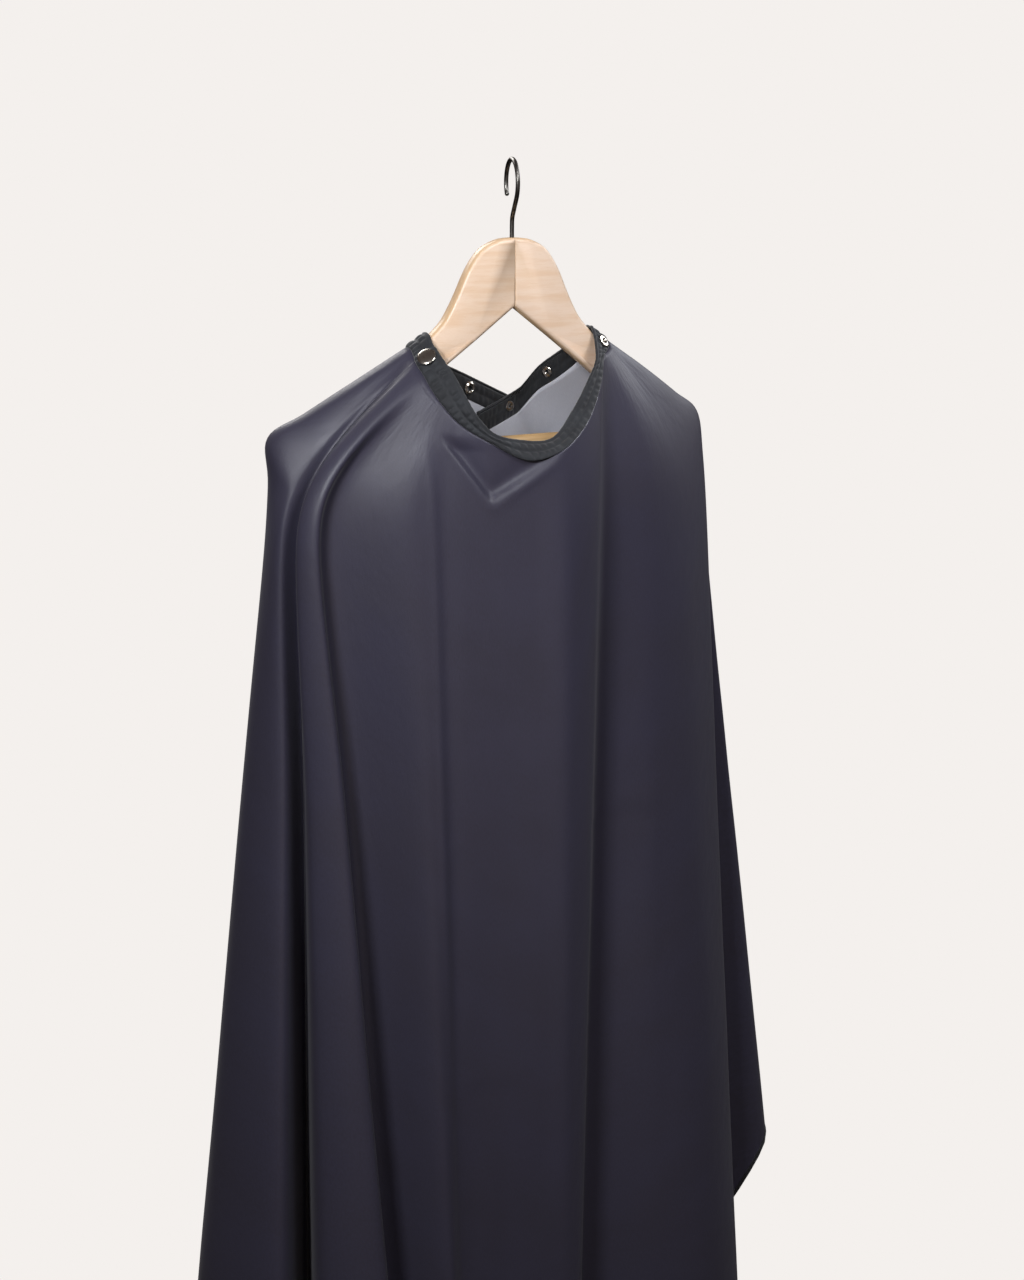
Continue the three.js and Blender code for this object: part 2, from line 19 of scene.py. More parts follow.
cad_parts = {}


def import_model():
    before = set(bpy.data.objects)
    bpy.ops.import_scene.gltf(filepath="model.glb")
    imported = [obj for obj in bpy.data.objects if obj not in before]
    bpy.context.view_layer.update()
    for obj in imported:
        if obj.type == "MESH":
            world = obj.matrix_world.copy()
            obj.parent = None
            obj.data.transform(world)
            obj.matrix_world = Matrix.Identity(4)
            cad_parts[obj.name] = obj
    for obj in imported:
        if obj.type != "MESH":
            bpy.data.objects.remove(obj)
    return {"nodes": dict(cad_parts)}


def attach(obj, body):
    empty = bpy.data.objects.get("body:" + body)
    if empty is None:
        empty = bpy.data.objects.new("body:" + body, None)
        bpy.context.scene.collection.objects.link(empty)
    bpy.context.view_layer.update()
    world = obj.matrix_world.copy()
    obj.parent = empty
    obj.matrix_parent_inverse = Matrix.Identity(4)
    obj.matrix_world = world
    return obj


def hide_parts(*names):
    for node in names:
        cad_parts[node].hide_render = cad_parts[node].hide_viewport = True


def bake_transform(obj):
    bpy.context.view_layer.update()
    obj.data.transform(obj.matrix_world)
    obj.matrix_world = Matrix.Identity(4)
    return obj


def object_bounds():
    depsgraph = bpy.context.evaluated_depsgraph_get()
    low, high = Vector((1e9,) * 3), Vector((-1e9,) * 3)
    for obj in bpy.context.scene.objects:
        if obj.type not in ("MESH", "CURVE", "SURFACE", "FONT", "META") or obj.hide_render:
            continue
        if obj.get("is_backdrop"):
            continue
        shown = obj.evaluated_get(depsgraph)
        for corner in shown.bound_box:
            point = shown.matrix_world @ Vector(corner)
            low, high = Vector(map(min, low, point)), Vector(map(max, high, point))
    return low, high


LOG = logging.getLogger("barber_cape")
MM = 0.001

Rgb = tuple[float, float, float]
Array = np.ndarray
Piece = bpy.types.Object


class Body(str, Enum):
    """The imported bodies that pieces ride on."""

    HOOK = "hook"
    HANGER = "hanger"
    CAPE = "cape"
    BACK_LEFT = "back_left"


class Slot(str, Enum):
    """The record's material slots."""

    CLOTH = "cape_cloth"
    BINDING = "binding"
    NECKBAND = "neckband"
    ELASTIC = "elastic"
    NICKEL = "nickel"
    SPRING = "spring_wire"
    STEEL = "steel_wire"
    PALE_WOOD = "pale_wood"
    BAR_WOOD = "bar_wood"


# ---------- shader building ----------
class Socket:
    """An output socket that adds Math nodes when it is used in an expression."""

    def __init__(self, shader: "Shader", link: bpy.types.NodeSocket) -> None:
        """Wraps link, a socket of one of shader's nodes."""
        self.shader = shader
        self.link = link

    def math(self, operation: str, *values: Any) -> "Socket":
        """Adds one Math node.

        Args:
            operation: the Math node's operation.
            values: its inputs, in order.

        Returns:
            The node's output.
        """
        inputs = dict(enumerate(values))
        return self.shader.node("ShaderNodeMath", {"operation": operation}, inputs)

    def __add__(self, other: Any) -> "Socket":
        """self + other."""
        return self.math("ADD", self, other)

    def __sub__(self, other: Any) -> "Socket":
        """self - other."""
        return self.math("SUBTRACT", self, other)

    def __rsub__(self, other: Any) -> "Socket":
        """other - self."""
        return self.math("SUBTRACT", other, self)

    def __mul__(self, other: Any) -> "Socket":
        """self * other."""
        return self.math("MULTIPLY", self, other)

    def absolute(self) -> "Socket":
        """The size of self without its sign."""
        return self.math("ABSOLUTE", self)

    def ramp(self, low: float, high: float) -> "Socket":
        """Rises smoothly from 0 at low to 1 at high."""
        values = {"Value": self, "From Min": low, "From Max": high}
        settings = {"interpolation_type": "SMOOTHSTEP"}
        return self.shader.node("ShaderNodeMapRange", settings, values)


class Shader:
    """A material under construction."""

    def __init__(self, name: str) -> None:
        """Starts an empty material that ends in one Principled shader."""
        self.material = bpy.data.materials.new(name)
        self.material.use_nodes = True
        self.tree = self.material.node_tree
        self.tree.nodes.clear()
        self.principled = self.tree.nodes.new("ShaderNodeBsdfPrincipled")
        out = self.tree.nodes.new("ShaderNodeOutputMaterial")
        self.tree.links.new(self.principled.outputs[0], out.inputs[0])

    def node(
        self,
        kind: str,
        settings: dict[str, Any],
        values: dict[Any, Any],
        output: int | str = 0,
    ) -> Socket:
        """Adds a node.

        Args:
            kind: the node's type.
            settings: its properties, which are set first.
            values: what its inputs hold: a number, a colour, a vector or a Socket.
            output: which of its outputs is wanted.

        Returns:
            That output.
        """
        made = self.tree.nodes.new(kind)
        for key, value in settings.items():
            setattr(made, key, value)
        for key, value in values.items():
            self.feed(made.inputs[key], value)
        return Socket(self, made.outputs[output])

    def feed(self, entry: bpy.types.NodeSocket, value: Any) -> None:
        """Links or sets one input socket."""
        if isinstance(value, Socket):
            self.tree.links.new(value.link, entry)
        else:
            entry.default_value = value

    def surface(self, **values: Any) -> bpy.types.Material:
        """Sets the Principled shader's sockets by their names, with _ for a space."""
        for key, value in values.items():
            self.feed(self.principled.inputs[key.replace("_", " ")], value)
        return self.material

    def place(self, scale: Sequence[float] = (1, 1, 1), uv: bool = False) -> Socket:
        """Object or UV coordinates, scaled."""
        where = self.node("ShaderNodeTexCoord", {}, {}, "UV" if uv else "Object")
        return self.node("ShaderNodeMapping", {}, {"Vector": where, "Scale": scale})

    def noise(self, where: Socket, scale: float, detail: float = 3, rough: float = 0.5) -> Socket:
        """A noise between 0 and 1 at a place."""
        values = {"Vector": where, "Scale": scale, "Detail": detail, "Roughness": rough}
        return self.node("ShaderNodeTexNoise", {}, values)

    def wave(self, where: Socket, width: float, bands: str = "X", bent: float = 0) -> Socket:
        """Sine ribs, width metres apart."""
        settings = {"wave_profile": "SIN", "bands_direction": bands}
        values = {"Vector": where, "Scale": 0.05 / width, "Distortion": bent}
        return self.node("ShaderNodeTexWave", settings, values)

    def blend(self, amount: Any, first: Any, second: Any) -> Socket:
        """A colour between two."""
        values = {"Factor": amount, 6: first, 7: second}
        return self.node("ShaderNodeMix", {"data_type": "RGBA"}, values, 2)

    def bump(self, height: Socket, depth: float, below: Socket | None = None) -> Socket:
        """A normal from a height, depth metres deep."""
        values: dict[str, Any] = {"Height": height, "Distance": depth, "Strength": 1.0}
        if below is not None:
            values["Normal"] = below
        return self.node("ShaderNodeBump", {}, values)


def paint(rgb: Rgb) -> tuple[float, float, float, float]:
    """An sRGB colour of 0 to 255 as a linear one for a shader."""
    def linear(c: float) -> float:
        """One channel, made linear."""
        c /= 255
        return c / 12.92 if c <= 0.04045 else ((c + 0.055) / 1.055) ** 2.4

    return (linear(rgb[0]), linear(rgb[1]), linear(rgb[2]), 1.0)


@dataclass(frozen=True)
class Satin:
    """Smooth polyester satin: a soft gloss, a fine weave and faint uneven colour."""

    name: str
    colour: Rgb
    worn: Rgb
    roughness: float
    weave: float = 0.00035

    def material(self) -> bpy.types.Material:
        """The finished material."""
        s = Shader(self.name)
        cloth = s.place(uv=True)
        slub = s.noise(s.place((6, 1, 1), uv=True), 260, 2)
        cloud = s.noise(cloth, 14, 4)
        warp = s.wave(cloth, self.weave)
        weft = s.wave(cloth, self.weave, "Y")
        crinkle = s.noise(s.place((2.2, 1, 1), uv=True), 48, 4, 0.55)
        fine = s.bump(warp * weft * 0.6 + slub * 0.4, 0.00002)
        normal = s.bump(crinkle, 0.00035, fine)
        shade = cloud * 0.5 + slub * 0.5
        colour = s.blend(shade.ramp(0.32, 0.7), paint(self.colour), paint(self.worn))
        return s.surface(
            Base_Color=colour, Roughness=cloud.ramp(0.2, 0.8) * 0.08 + self.roughness,
            Sheen_Weight=0.12, Sheen_Roughness=0.4, Specular_IOR_Level=0.5, Normal=normal,
        )


@dataclass(frozen=True)
class Tape:
    """Woven black tape and band fabric, with ribs across its length and a little lint."""

    name: str
    colour: Rgb
    lint: Rgb
    roughness: float = 0.62
    rib: float = 0.0009

    def material(self) -> bpy.types.Material:
        """The finished material."""
        s = Shader(self.name)
        cloth = s.place(uv=True)
        ribs = s.wave(cloth, self.rib, bent=0.6)
        fuzz = s.noise(cloth, 900, 3)
        cloud = s.noise(cloth, 60, 3)
        colour = s.blend(cloud.ramp(0.35, 0.75), paint(self.colour), paint(self.lint))
        return s.surface(
            Base_Color=colour, Roughness=fuzz * 0.2 + self.roughness, Sheen_Weight=0.25,
            Sheen_Roughness=0.5, Normal=s.bump(ribs * 0.5 + fuzz * 0.5, 0.00012),
        )


@dataclass(frozen=True)
class Metal:
    """Plated or drawn metal with faint scratches and duller patches."""

    name: str
    colour: Rgb
    dull: Rgb
    roughness: float

    def material(self) -> bpy.types.Material:
        """The finished material."""
        s = Shader(self.name)
        here = s.place()
        patches = s.noise(here, 420, 3)
        scratches = s.noise(s.place((1, 9, 1)), 1500, 2)
        colour = s.blend(patches.ramp(0.45, 0.75), paint(self.colour), paint(self.dull))
        return s.surface(
            Base_Color=colour, Metallic=1.0, Roughness=patches * 0.14 + self.roughness,
            Normal=s.bump(scratches, 0.00001),
        )


@dataclass(frozen=True)
class Wood:
    """Clear-coated light wood: pale faces and grain along the arm, with painted shade in tan on the
    rounded edges.
    """

    name: str
    face: Rgb
    grain: Rgb
    # edge: the tone of the pores, and the tan of the painted shade on faces turned sideways
    edge: Rgb
    along: float = 0.0

    def material(self) -> bpy.types.Material:
        """The finished material."""
        s = Shader(self.name)
        grain_place = s.node(
            "ShaderNodeMapping", {},
            {"Vector": s.node("ShaderNodeTexCoord", {}, {}, "Object"),
             "Rotation": (0, math.radians(self.along), 0), "Scale": (2.5, 26, 26)},
        )
        figure = s.noise(grain_place, 7, 5, 0.6)
        pores = s.noise(grain_place, 60, 3, 0.6)
        # Painted shade: faces that turn away from front and back (the rounded edges, top and
        # bottom) get the tan edge colour
        facing = s.node("ShaderNodeTexCoord", {}, {}, "Normal")
        split = s.node("ShaderNodeSeparateXYZ", {}, {0: facing}, 1).absolute()
        rim = 1 - split.ramp(0.45, 0.97)
        wood = s.blend(figure.ramp(0.38, 0.68), paint(self.face), paint(self.grain))
        worn = s.blend(pores.ramp(0.55, 0.8) * 0.35, wood, paint(self.edge))
        # Lays the painted edge shade over the wood
        colour = s.blend(rim * 0.85, worn, paint(self.edge))
        return s.surface(
            Base_Color=colour, Roughness=pores * 0.12 + 0.36, Coat_Weight=0.25,
            Coat_Roughness=0.25, Normal=s.bump(pores * 0.6 + figure * 0.4, 0.00012),
        )


class Finishes:
    """Every material of the object, made once."""

    def __init__(self) -> None:
        """Makes the materials."""
        self.outside = Satin("slate_satin", (59, 57, 73), (54, 51, 64), 0.44).material()
        self.inside = Satin("pale_lining", (212, 213, 220), (200, 201, 209), 0.5).material()
        self.band = Tape("neckband_fabric", (24, 26, 30), (36, 39, 43)).material()
        self.facing = Tape("neckband_facing", (20, 22, 25), (33, 35, 38), 0.7).material()
        self.binding = Tape("hem_tape", (17, 17, 20), (28, 28, 32), 0.55).material()
        self.elastic = Tape("elastic_tape", (44, 44, 46), (62, 62, 64), 0.8, 0.0012).material()
        self.nickel = Metal("polished_nickel", (206, 200, 190), (170, 163, 152), 0.16).material()
        self.spring = Metal("spring_wire", (150, 148, 144), (110, 108, 104), 0.3).material()
        self.steel = Metal("steel_wire", (120, 117, 112), (86, 83, 78), 0.28).material()
        # Each wood's last colour tints its pores and gives the painted shade on its rounded edges
        self.left_wood = Wood("pale_wood_left", (247, 219, 192), (240, 206, 172),
                              (222, 184, 138), 35).material()
        self.right_wood = Wood("pale_wood_right", (248, 221, 196), (241, 208, 176),
                               (224, 188, 143), -35).material()
        self.bar = Wood("bar_wood", (214, 180, 130), (200, 163, 112), (196, 158, 106)).material()


# ---------- small modelling tools ----------
def deselect() -> None:
    """Leaves object mode with nothing selected."""
    if bpy.context.object is not None and bpy.context.object.mode != "OBJECT":
        bpy.ops.object.mode_set(mode="OBJECT")
    bpy.ops.object.select_all(action="DESELECT")


def activate(piece: Piece) -> None:
    """Makes piece the only selected object and the active one."""
    deselect()
    piece.select_set(True)
    bpy.context.view_layer.objects.active = piece


def dress(piece: Piece, name: str, finish: bpy.types.Material) -> Piece:
    """Names a piece and gives it one material."""
    piece.name = name
    piece.data.name = name
    piece.data.materials.clear()
    piece.data.materials.append(finish)
    return piece


def unit(vectors: Array) -> Array:
    """The vectors at length one, along the last axis."""
    length = np.linalg.norm(vectors, axis=-1, keepdims=True)
    return vectors / np.maximum(length, 1e-12)


def linked(name: str, data: bpy.types.ID) -> Piece:
    """A new object in the scene that shows data."""
    piece = bpy.data.objects.new(name, data)
    bpy.context.scene.collection.objects.link(piece)
    return piece


def mesh_piece(
    name: str, points: Array, faces: Iterable[Sequence[int]], finish: bpy.types.Material,
    uv: Array | None = None,
) -> Piece:
    """A mesh object from points and faces.

    Args:
        name: the piece's name.
        points: its vertices, one row each, in metres.
        faces: the vertex numbers of each face.
        finish: its material.
        uv: a place on the cloth for each vertex, in metres.

    Returns:
        The new object.
    """
    mesh = bpy.data.meshes.new(name)
    mesh.from_pydata(points.tolist(), [], [list(map(int, f)) for f in faces])
    mesh.polygons.foreach_set("use_smooth", [True] * len(mesh.polygons))
    if uv is not None:
        layer = mesh.uv_layers.new(name="cloth")
        corner = np.zeros(len(mesh.loops), np.int32)
        mesh.loops.foreach_get("vertex_index", corner)
        layer.data.foreach_set("uv", uv[corner].astype(np.float32).ravel())
    mesh.validate()
    return dress(linked(name, mesh), name, finish)


def apply_modifier(piece: Piece, kind: str, **settings: Any) -> None:
    """Adds a modifier and applies it."""
    activate(piece)
    modifier = piece.modifiers.new(kind.lower(), kind)
    for key, value in settings.items():
        setattr(modifier, key, value)
    bpy.ops.object.modifier_apply(modifier=modifier.name)


def smoothed_copy(node: str, name: str, finish: bpy.types.Material, body: Body, slot: Slot,
                  angle: float = 35) -> Piece:
    """A welded, smooth-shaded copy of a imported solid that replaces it."""
    piece = frame["nodes"][node].copy()
    piece.data = piece.data.copy()
    piece.parent = None
    bpy.context.scene.collection.objects.link(piece)
    piece.matrix_world = Matrix.Identity(4)
    for key in list(piece.keys()):
        del piece[key]
    activate(piece)
    bpy.ops.object.mode_set(mode="EDIT")
    bpy.ops.mesh.select_all(action="SELECT")
    bpy.ops.mesh.remove_doubles(threshold=0.00001)
    bpy.ops.object.mode_set(mode="OBJECT")
    bpy.ops.object.shade_smooth_by_angle(angle=math.radians(angle))
    return placed(dress(piece, name, finish), body, slot, node)


def placed(piece: Piece, body: Body, slot: Slot, *nodes: str) -> Piece:
    """Puts a finished piece on its body and hides the imported solids that it replaces."""
    deselect()
    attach(piece, body.value)
    if nodes:
        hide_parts(*nodes)
    LOG.info("%s rides on %s", piece.name, body.value)
    return piece


# ---------- the drape ----------
@dataclass(frozen=True)
class Column:
    """One line down the cape, in millimetres.

    free and seam are the neckband's two edges, shoulder and low the outline at two levels and hem
    the height of the hem. arm is 1 or -1 where the line lies along the top of an arm, offset
    millimetres behind its middle.
    """

    name: str
    free: Array
    seam: Array
    shoulder: Array
    low: Array
    hem: float
    arm: int = 0
    offset: float = 0.0
    rounded: bool = False


@dataclass
class HangerShape:
    """The hanger's sizes that the cape lies on, in millimetres."""

    half_span: float = 190
    thickness: float = 13
    rounding: float = 3.6
    bow: float = 36
    top_edge: tuple[tuple[float, float], ...] = (
        (0, -58), (13, -59.2), (26, -65), (34, -73.5), (41, -85), (47, -98), (53, -110),
        (61, -123), (75, -137),
    )
    slope: float = 0.65

    def bow_y(self, x: float) -> float:
        """How far back the arm's middle lies at x."""
        return self.bow * (x / self.half_span) ** 2

    def top_z(self, x: float) -> float:
        """Height of the top edge at x, carried on in line past its last point."""
        xs, zs = zip(*self.top_edge)
        a = abs(x)
        if a <= xs[-1]:
            return float(np.interp(a, xs, zs))
        return zs[-1] - self.slope * (a - xs[-1])


def catmull(points: Array, places: Array) -> Array:
    """Centripetal Catmull-Rom curves through control points.

    Args:
        points: control points on the first axis, any number of curves on the axes between and
            x, y, z on the last.
        places: where to read the curves, counted in control points.

    Returns:
        The curves' points, places first.
    """
    padded = np.concatenate([[2 * points[0] - points[1]], points, [2 * points[-1] - points[-2]]])
    gaps = np.linalg.norm(np.diff(padded, axis=0), axis=-1, keepdims=True) ** 0.5
    gaps = np.maximum(gaps, 1e-6)
    out = []
    for place in places:
        i = min(int(place), len(points) - 2)
        t = place - i
        p0, p1, p2, p3 = padded[i:i + 4]
        d0, d1, d2 = gaps[i:i + 3]
        m1 = ((p1 - p0) / d0 - (p2 - p0) / (d0 + d1) + (p2 - p1) / d1) * d1
        m2 = ((p2 - p1) / d1 - (p3 - p1) / (d1 + d2) + (p3 - p2) / d2) * d1
        c2 = -3 * p1 + 3 * p2 - 2 * m1 - m2
        c3 = 2 * p1 - 2 * p2 + m1 + m2
        out.append(p1 + m1 * t + c2 * t ** 2 + c3 * t ** 3)
    return np.array(out)


def relaxed(line: Array, reach: float) -> Array:
    """A line with its bends eased over a distance and its two ends kept."""
    travelled = arc_lengths(line[None], 1)[0]
    count = 400
    even = np.linspace(0, travelled[-1], count)
    points = np.stack([np.interp(even, travelled, line[:, k]) for k in range(3)], axis=1)
    half = int(3 * reach / even[1])
    before = 2 * points[0] - points[half:0:-1]
    after = 2 * points[-1] - points[-2:-half - 2:-1]
    padded = np.concatenate([before, points, after])
    bell = np.exp(-0.5 * (np.arange(-half, half + 1) * even[1] / reach) ** 2)
    bell /= bell.sum()
    eased = np.stack([np.convolve(padded[:, k], bell, "valid") for k in range(3)], axis=1)
    return np.stack([np.interp(travelled, even, eased[:, k]) for k in range(3)], axis=1)


# The columns that follow the hanger and hang freely: name, free edge, seam, outline at the
# shoulder, outline low down, hem, and for a column along an arm its side and offset. A free
# edge or a seam of two numbers lies over an arm: its x, and its distance behind the arm's middle.
AROUND = (
    ("back_left", (-66, 30, -146), (-71, 31, -164), (-112, 52), (-165, 110), -972),
    ("back_left_valley", (-70, 19, -139.5), (-80, 21.5, -153), (-165, 51), (-216, 80), -985),
    ("left_tip_back", (-72, 4.6), (-87, 4.8), (-192, 46), (-262, 98), -1000, -1, 6.1),
    ("left_side_ridge", (-72, -4.4), (-87, -4.6), (-196.5, 28), (-280, 50), -1015, -1, -6.1),
    ("left_side_front", (-72, -8, -138.5), (-87, -4.5, -147.5), (-192, 8), (-232, -25), -1025),
    ("slit", (-71.5, -13, -141), (-88, -9, -150), (-179, 6), (-190, 30), -1030),
    ("left_fold_back", (-71, -18, -144.5), (-88, -14, -153.5), (-187, -12), (-200, -50), -1040),
    ("left_fold_edge", (-69, -26, -151), (-86, -22, -160), (-177, -24), (-150, -72), -1050),
    ("left_valley", (-66, -33, -158), (-83, -30, -170), (-167, -12), (-138, -26), -1050),
    ("left_ridge", (-61, -42, -172), (-76, -38, -183), (-108, -44), (-90, -66), -1035),
    ("pressed_line", (-55, -50, -187), (-66, -46, -196), (-80, -52), (-75, -58), -1025),
    ("centre_left", (-42, -56, -203), (-46, -57, -210), (-49, -60), (-38, -58), -1010),
    ("centre", (-20, -57, -210), (-15, -67, -225), (-12, -68), (0, -66), -1005),
    ("centre_right", (8, -56, -211), (12, -68, -219), (14, -73), (19, -72), -1010),
    ("neck_right", (32, -46, -191), (42, -53, -200), (31, -69), (27, -72), -1015),
    ("right_ridge", (53, -34, -167), (66, -30, -171), (47, -61), (37, -68), -1020),
    ("right_valley", (64, -24, -155), (76, -14, -154), (66, -42), (58, -34), -1030),
    ("right_panel", (69, -13, -144), (83, -7, -150), (118, -32), (125, -54), -1050),
    ("right_panel_side", (71, -7, -138.5), (87, -2, -147.5), (160, -10), (185, -58), -1080),
    ("right_fold_edge", (72, -4.6), (87, -4.8), (194, 20), (219, -36), -1095, 1, -6.1),
    ("right_deep_valley", (72, 0), (87.5, 0), (197, 30), (196, 0), -1075, 1, 0),
    ("right_lobe", (72, 4.6), (87, 4.8), (198, 38), (285, 5), -935, 1, 5.6),
    ("right_tip_back", (71, 14.5, -136), (84, 17, -147.5), (195, 45), (278, 37), -922, 1, 9.5),
    ("lobe_back", (70, 20, -140), (79, 23, -154), (182, 53), (256, 68), -915),
    ("back_right_valley", (67, 29, -147), (72, 31, -165), (158, 56), (214, 72), -920),
    ("back_right_ridge", (59, 42, -157), (61, 44, -178), (122, 64), (180, 122), -925),
    ("back_right_inner", (51, 56, -168), (51, 58, -189), (92, 73), (140, 107), -930),
)


@dataclass
class Drape:
    """The shape that the cape hangs in, from the columns in millimetres."""

    hanger: HangerShape = field(default_factory=HangerShape)
    shoulder_z: float = -249.75
    low_z: float = -960
    band_drop: float = 20
    band_thickness: float = 3.0
    band_lift: float = 1.2
    cloth_lift: float = 3.3
    stack: float = 6.9
    fullness: float = 0.35
    softness: float = 26
    hinge_top: tuple[float, float, float] = (-62, 38, -150)
    hinge_low: tuple[float, float, float] = (-120, 75, -1050)
    closure: tuple[float, float, float] = (25, 72, -200)
    across: int = 10
    rows_at_neck: int = 8
    rows_below: int = 30

    def __post_init__(self) -> None:
        """Works out the columns and the fine surfaces through them."""
        corners = (self.hinge_top, self.hinge_low, self.closure)
        top, low, close = (np.array(p, float) for p in corners)
        self.leaf_normal = unit(np.cross(top - low, close - top))
        if self.leaf_normal[1] < 0:
            self.leaf_normal = -self.leaf_normal
        self.hinge_axis = unit(top - low)
        self.columns = self.make_columns()
        count = len(self.columns)
        self.column_places = np.arange((count - 1) * self.across + 1) / self.across
        spines = np.array([self.spine(c) for c in self.columns]).transpose(1, 0, 2)
        spans = [self.rows_at_neck] * 4 + [self.rows_below] * 3
        starts = [i + np.arange(n) / n for i, n in enumerate(spans)]
        self.row_places = np.concatenate([*starts, [len(spans)]])
        rows = catmull(spines, self.row_places)
        for j, c in enumerate(self.columns):
            if c.rounded and not c.arm:
                rows[:, j] = relaxed(rows[:, j], self.softness)
        self.cloth = catmull(rows.transpose(1, 0, 2), self.column_places).transpose(1, 0, 2)
        self.band_places = np.arange((count - 1) * self.across * 3 + 1) / (self.across * 3)
        lines = np.array([[c.free, (c.free + c.seam) / 2, c.seam] for c in self.columns])
        self.band = catmull(lines, self.band_places).transpose(1, 0, 2)

    def leaf(self, x: float, z: float, inward: float = 0) -> Array:
        """The point of the back left panel's plane at x and z, moved inward."""
        n, top = self.leaf_normal, self.hinge_top
        y = top[1] - (n[0] * (x - top[0]) + n[2] * (z - top[2])) / n[1]
        return np.array([x, y, z]) - n * inward

    def hinge_x(self, z: float) -> float:
        """Where the panel's fold line is at a height."""
        top, low = self.hinge_top, self.hinge_low
        return top[0] + (low[0] - top[0]) * (z - top[2]) / (low[2] - top[2])

    def leaf_column(self, name: str, neck: float, free_z: float, shoulder: float, low: float,
                    hem: float, inward: float = 0) -> Column:
        """A column in the back left panel's plane, or inward of it under the overlap."""
        return Column(
            name, self.leaf(neck, free_z, inward), self.leaf(neck, free_z - self.band_drop, inward),
            self.leaf(shoulder, self.shoulder_z, inward), self.leaf(low, self.low_z, inward), hem,
        )

    def plain(self, name: str, free: Sequence[float], seam: Sequence[float],
              shoulder: Sequence[float], low: Sequence[float], hem: float,
              arm: int = 0, offset: float = 0) -> Column:
        """A column from a row of AROUND."""
        free, seam = (self.on_arm(*p) if len(p) == 2 else p for p in (free, seam))
        return Column(
            name, np.array(free, float), np.array(seam, float),
            np.array([*shoulder, self.shoulder_z], float), np.array([*low, self.low_z], float),
            hem, arm, offset, True,
        )

    def on_arm(self, x: float, offset: float) -> tuple[float, float, float]:
        """A point of the neckband where it lies over an arm."""
        lift = self.band_thickness / 2 + self.band_lift
        return (x, self.hanger.bow_y(x) + offset, self.hanger.top_z(x) + lift)

    def make_columns(self) -> list[Column]:
        """The columns, from the back left panel's edge round the front to the overlap."""
        def edge(x: float) -> float:
            """Height of the neckband's free edge on the panel."""
            return self.hinge_top[2] - 0.471 * (x - self.hinge_top[0])

        leaf, fold = self.leaf_column, self.hinge_x
        return [
            leaf("back_edge", 37, edge(37), 42, 62, -940),
            leaf("flap_middle", -14, edge(-14), -14, -28, -950),
            leaf("flap_hinge", fold(-158), edge(fold(-158)), fold(-250), fold(-960), -960),
            *(self.plain(*row) for row in AROUND),
            leaf("overlap_start", 37, -187, 66, 100, -935, self.stack),
            leaf("overlap_snap", 30, -190, 54, 80, -936, self.stack),
            leaf("overlap_middle", 13, -196, 30, 44, -938, self.stack),
            leaf("back_edge_inner", -9, -203, 2, 4, -940, self.stack),
        ]

    def spine(self, c: Column) -> list[Array]:
        """Control points of a column from its seam down to its hem."""
        def between(a: Array, b: Array, t: float) -> Array:
            """A point part of the way from a to b."""
            return a + (b - a) * t

        hem = between(c.shoulder, c.low, (c.hem - self.shoulder_z) / (self.low_z - self.shoulder_z))
        below = [c.shoulder, between(c.shoulder, hem, 0.33), between(c.shoulder, hem, 0.67), hem]
        if not c.arm:
            over = [between(c.seam, c.shoulder, t) for t in (0.35, 0.7, 0.9)]
            if c.rounded:
                corner = np.array([*c.shoulder[:2], (c.seam[2] + c.shoulder[2]) / 2])
                for i, t in enumerate((0.35, 0.7, 0.9)):
                    bow = between(between(c.seam, corner, t), between(corner, c.shoulder, t), t)
                    over[i] = between(over[i], bow, self.fullness)
            return [c.seam, *over, *below]
        h = self.hanger
        fall = h.rounding if abs(c.offset) > h.thickness / 2 else 0
        over = []
        for x, drop in ((125, 0), (h.half_span - 24, 0), (h.half_span + 3, 1)):
            over.append(np.array([
                c.arm * x, h.bow_y(x) + c.offset, h.top_z(x) + self.cloth_lift - drop - fall,
            ]))
        return [c.seam, *over, *below]


def grid_normals(grid: Array) -> Array:
    """Outward unit normals of a grid of rows by columns."""
    down = np.gradient(grid, axis=0)
    along = np.gradient(grid, axis=1)
    return unit(np.cross(down, along))


def arc_lengths(grid: Array, axis: int) -> Array:
    """Distance travelled along one axis of a grid, from its first row or column."""
    step = np.linalg.norm(np.diff(grid, axis=axis), axis=-1)
    start = np.zeros_like(np.take(step, [0], axis=axis))
    return np.concatenate([start, np.cumsum(step, axis=axis)], axis=axis)


def grid_faces(rows: int, cols: int, closed: bool = False) -> list[tuple[int, int, int, int]]:
    """Quads of a grid that face outward; closed joins the last row to the first."""
    faces = []
    for i in range(rows if closed else rows - 1):
        k = (i + 1) % rows
        for j in range(cols - 1):
            faces.append((i * cols + j, k * cols + j, k * cols + j + 1, i * cols + j + 1))
    return faces


def swept(
    name: str, line: Array, across: Array, out: Array, profile: Callable[[int], Array],
    finish: bpy.types.Material,
) -> Piece:
    """A closed section swept along a line.

    Args:
        name: the piece's name.
        line: points of the line.
        across: unit vectors at the line for the section's first size.
        out: unit vectors at the line for its second size.
        profile: gives the closed section at a point of the line, as rows of two sizes in metres.
        finish: the material.

    Returns:
        The new object, closed at both ends.
    """
    sections = [profile(j) for j in range(len(line))]
    size = len(sections[0])
    cols = len(line)
    points = np.zeros((size, cols, 3))
    uv = np.zeros((size, cols, 2))
    lengths = arc_lengths(line[None, :, :], 1)[0]
    for j, section in enumerate(sections):
        points[:, j] = line[j] + section[:, :1] * across[j] + section[:, 1:2] * out[j]
        step = np.linalg.norm(np.diff(section, axis=0), axis=1)
        uv[:, j, 0] = lengths[j]
        uv[:, j, 1] = np.concatenate([[0], np.cumsum(step)])
    faces: list[Sequence[int]] = list(grid_faces(size, cols, closed=True))
    faces.append([i * cols for i in range(size)][::-1])
    faces.append([i * cols + cols - 1 for i in range(size)])
    return mesh_piece(name, points.reshape(-1, 3), faces, finish, uv.reshape(-1, 2))


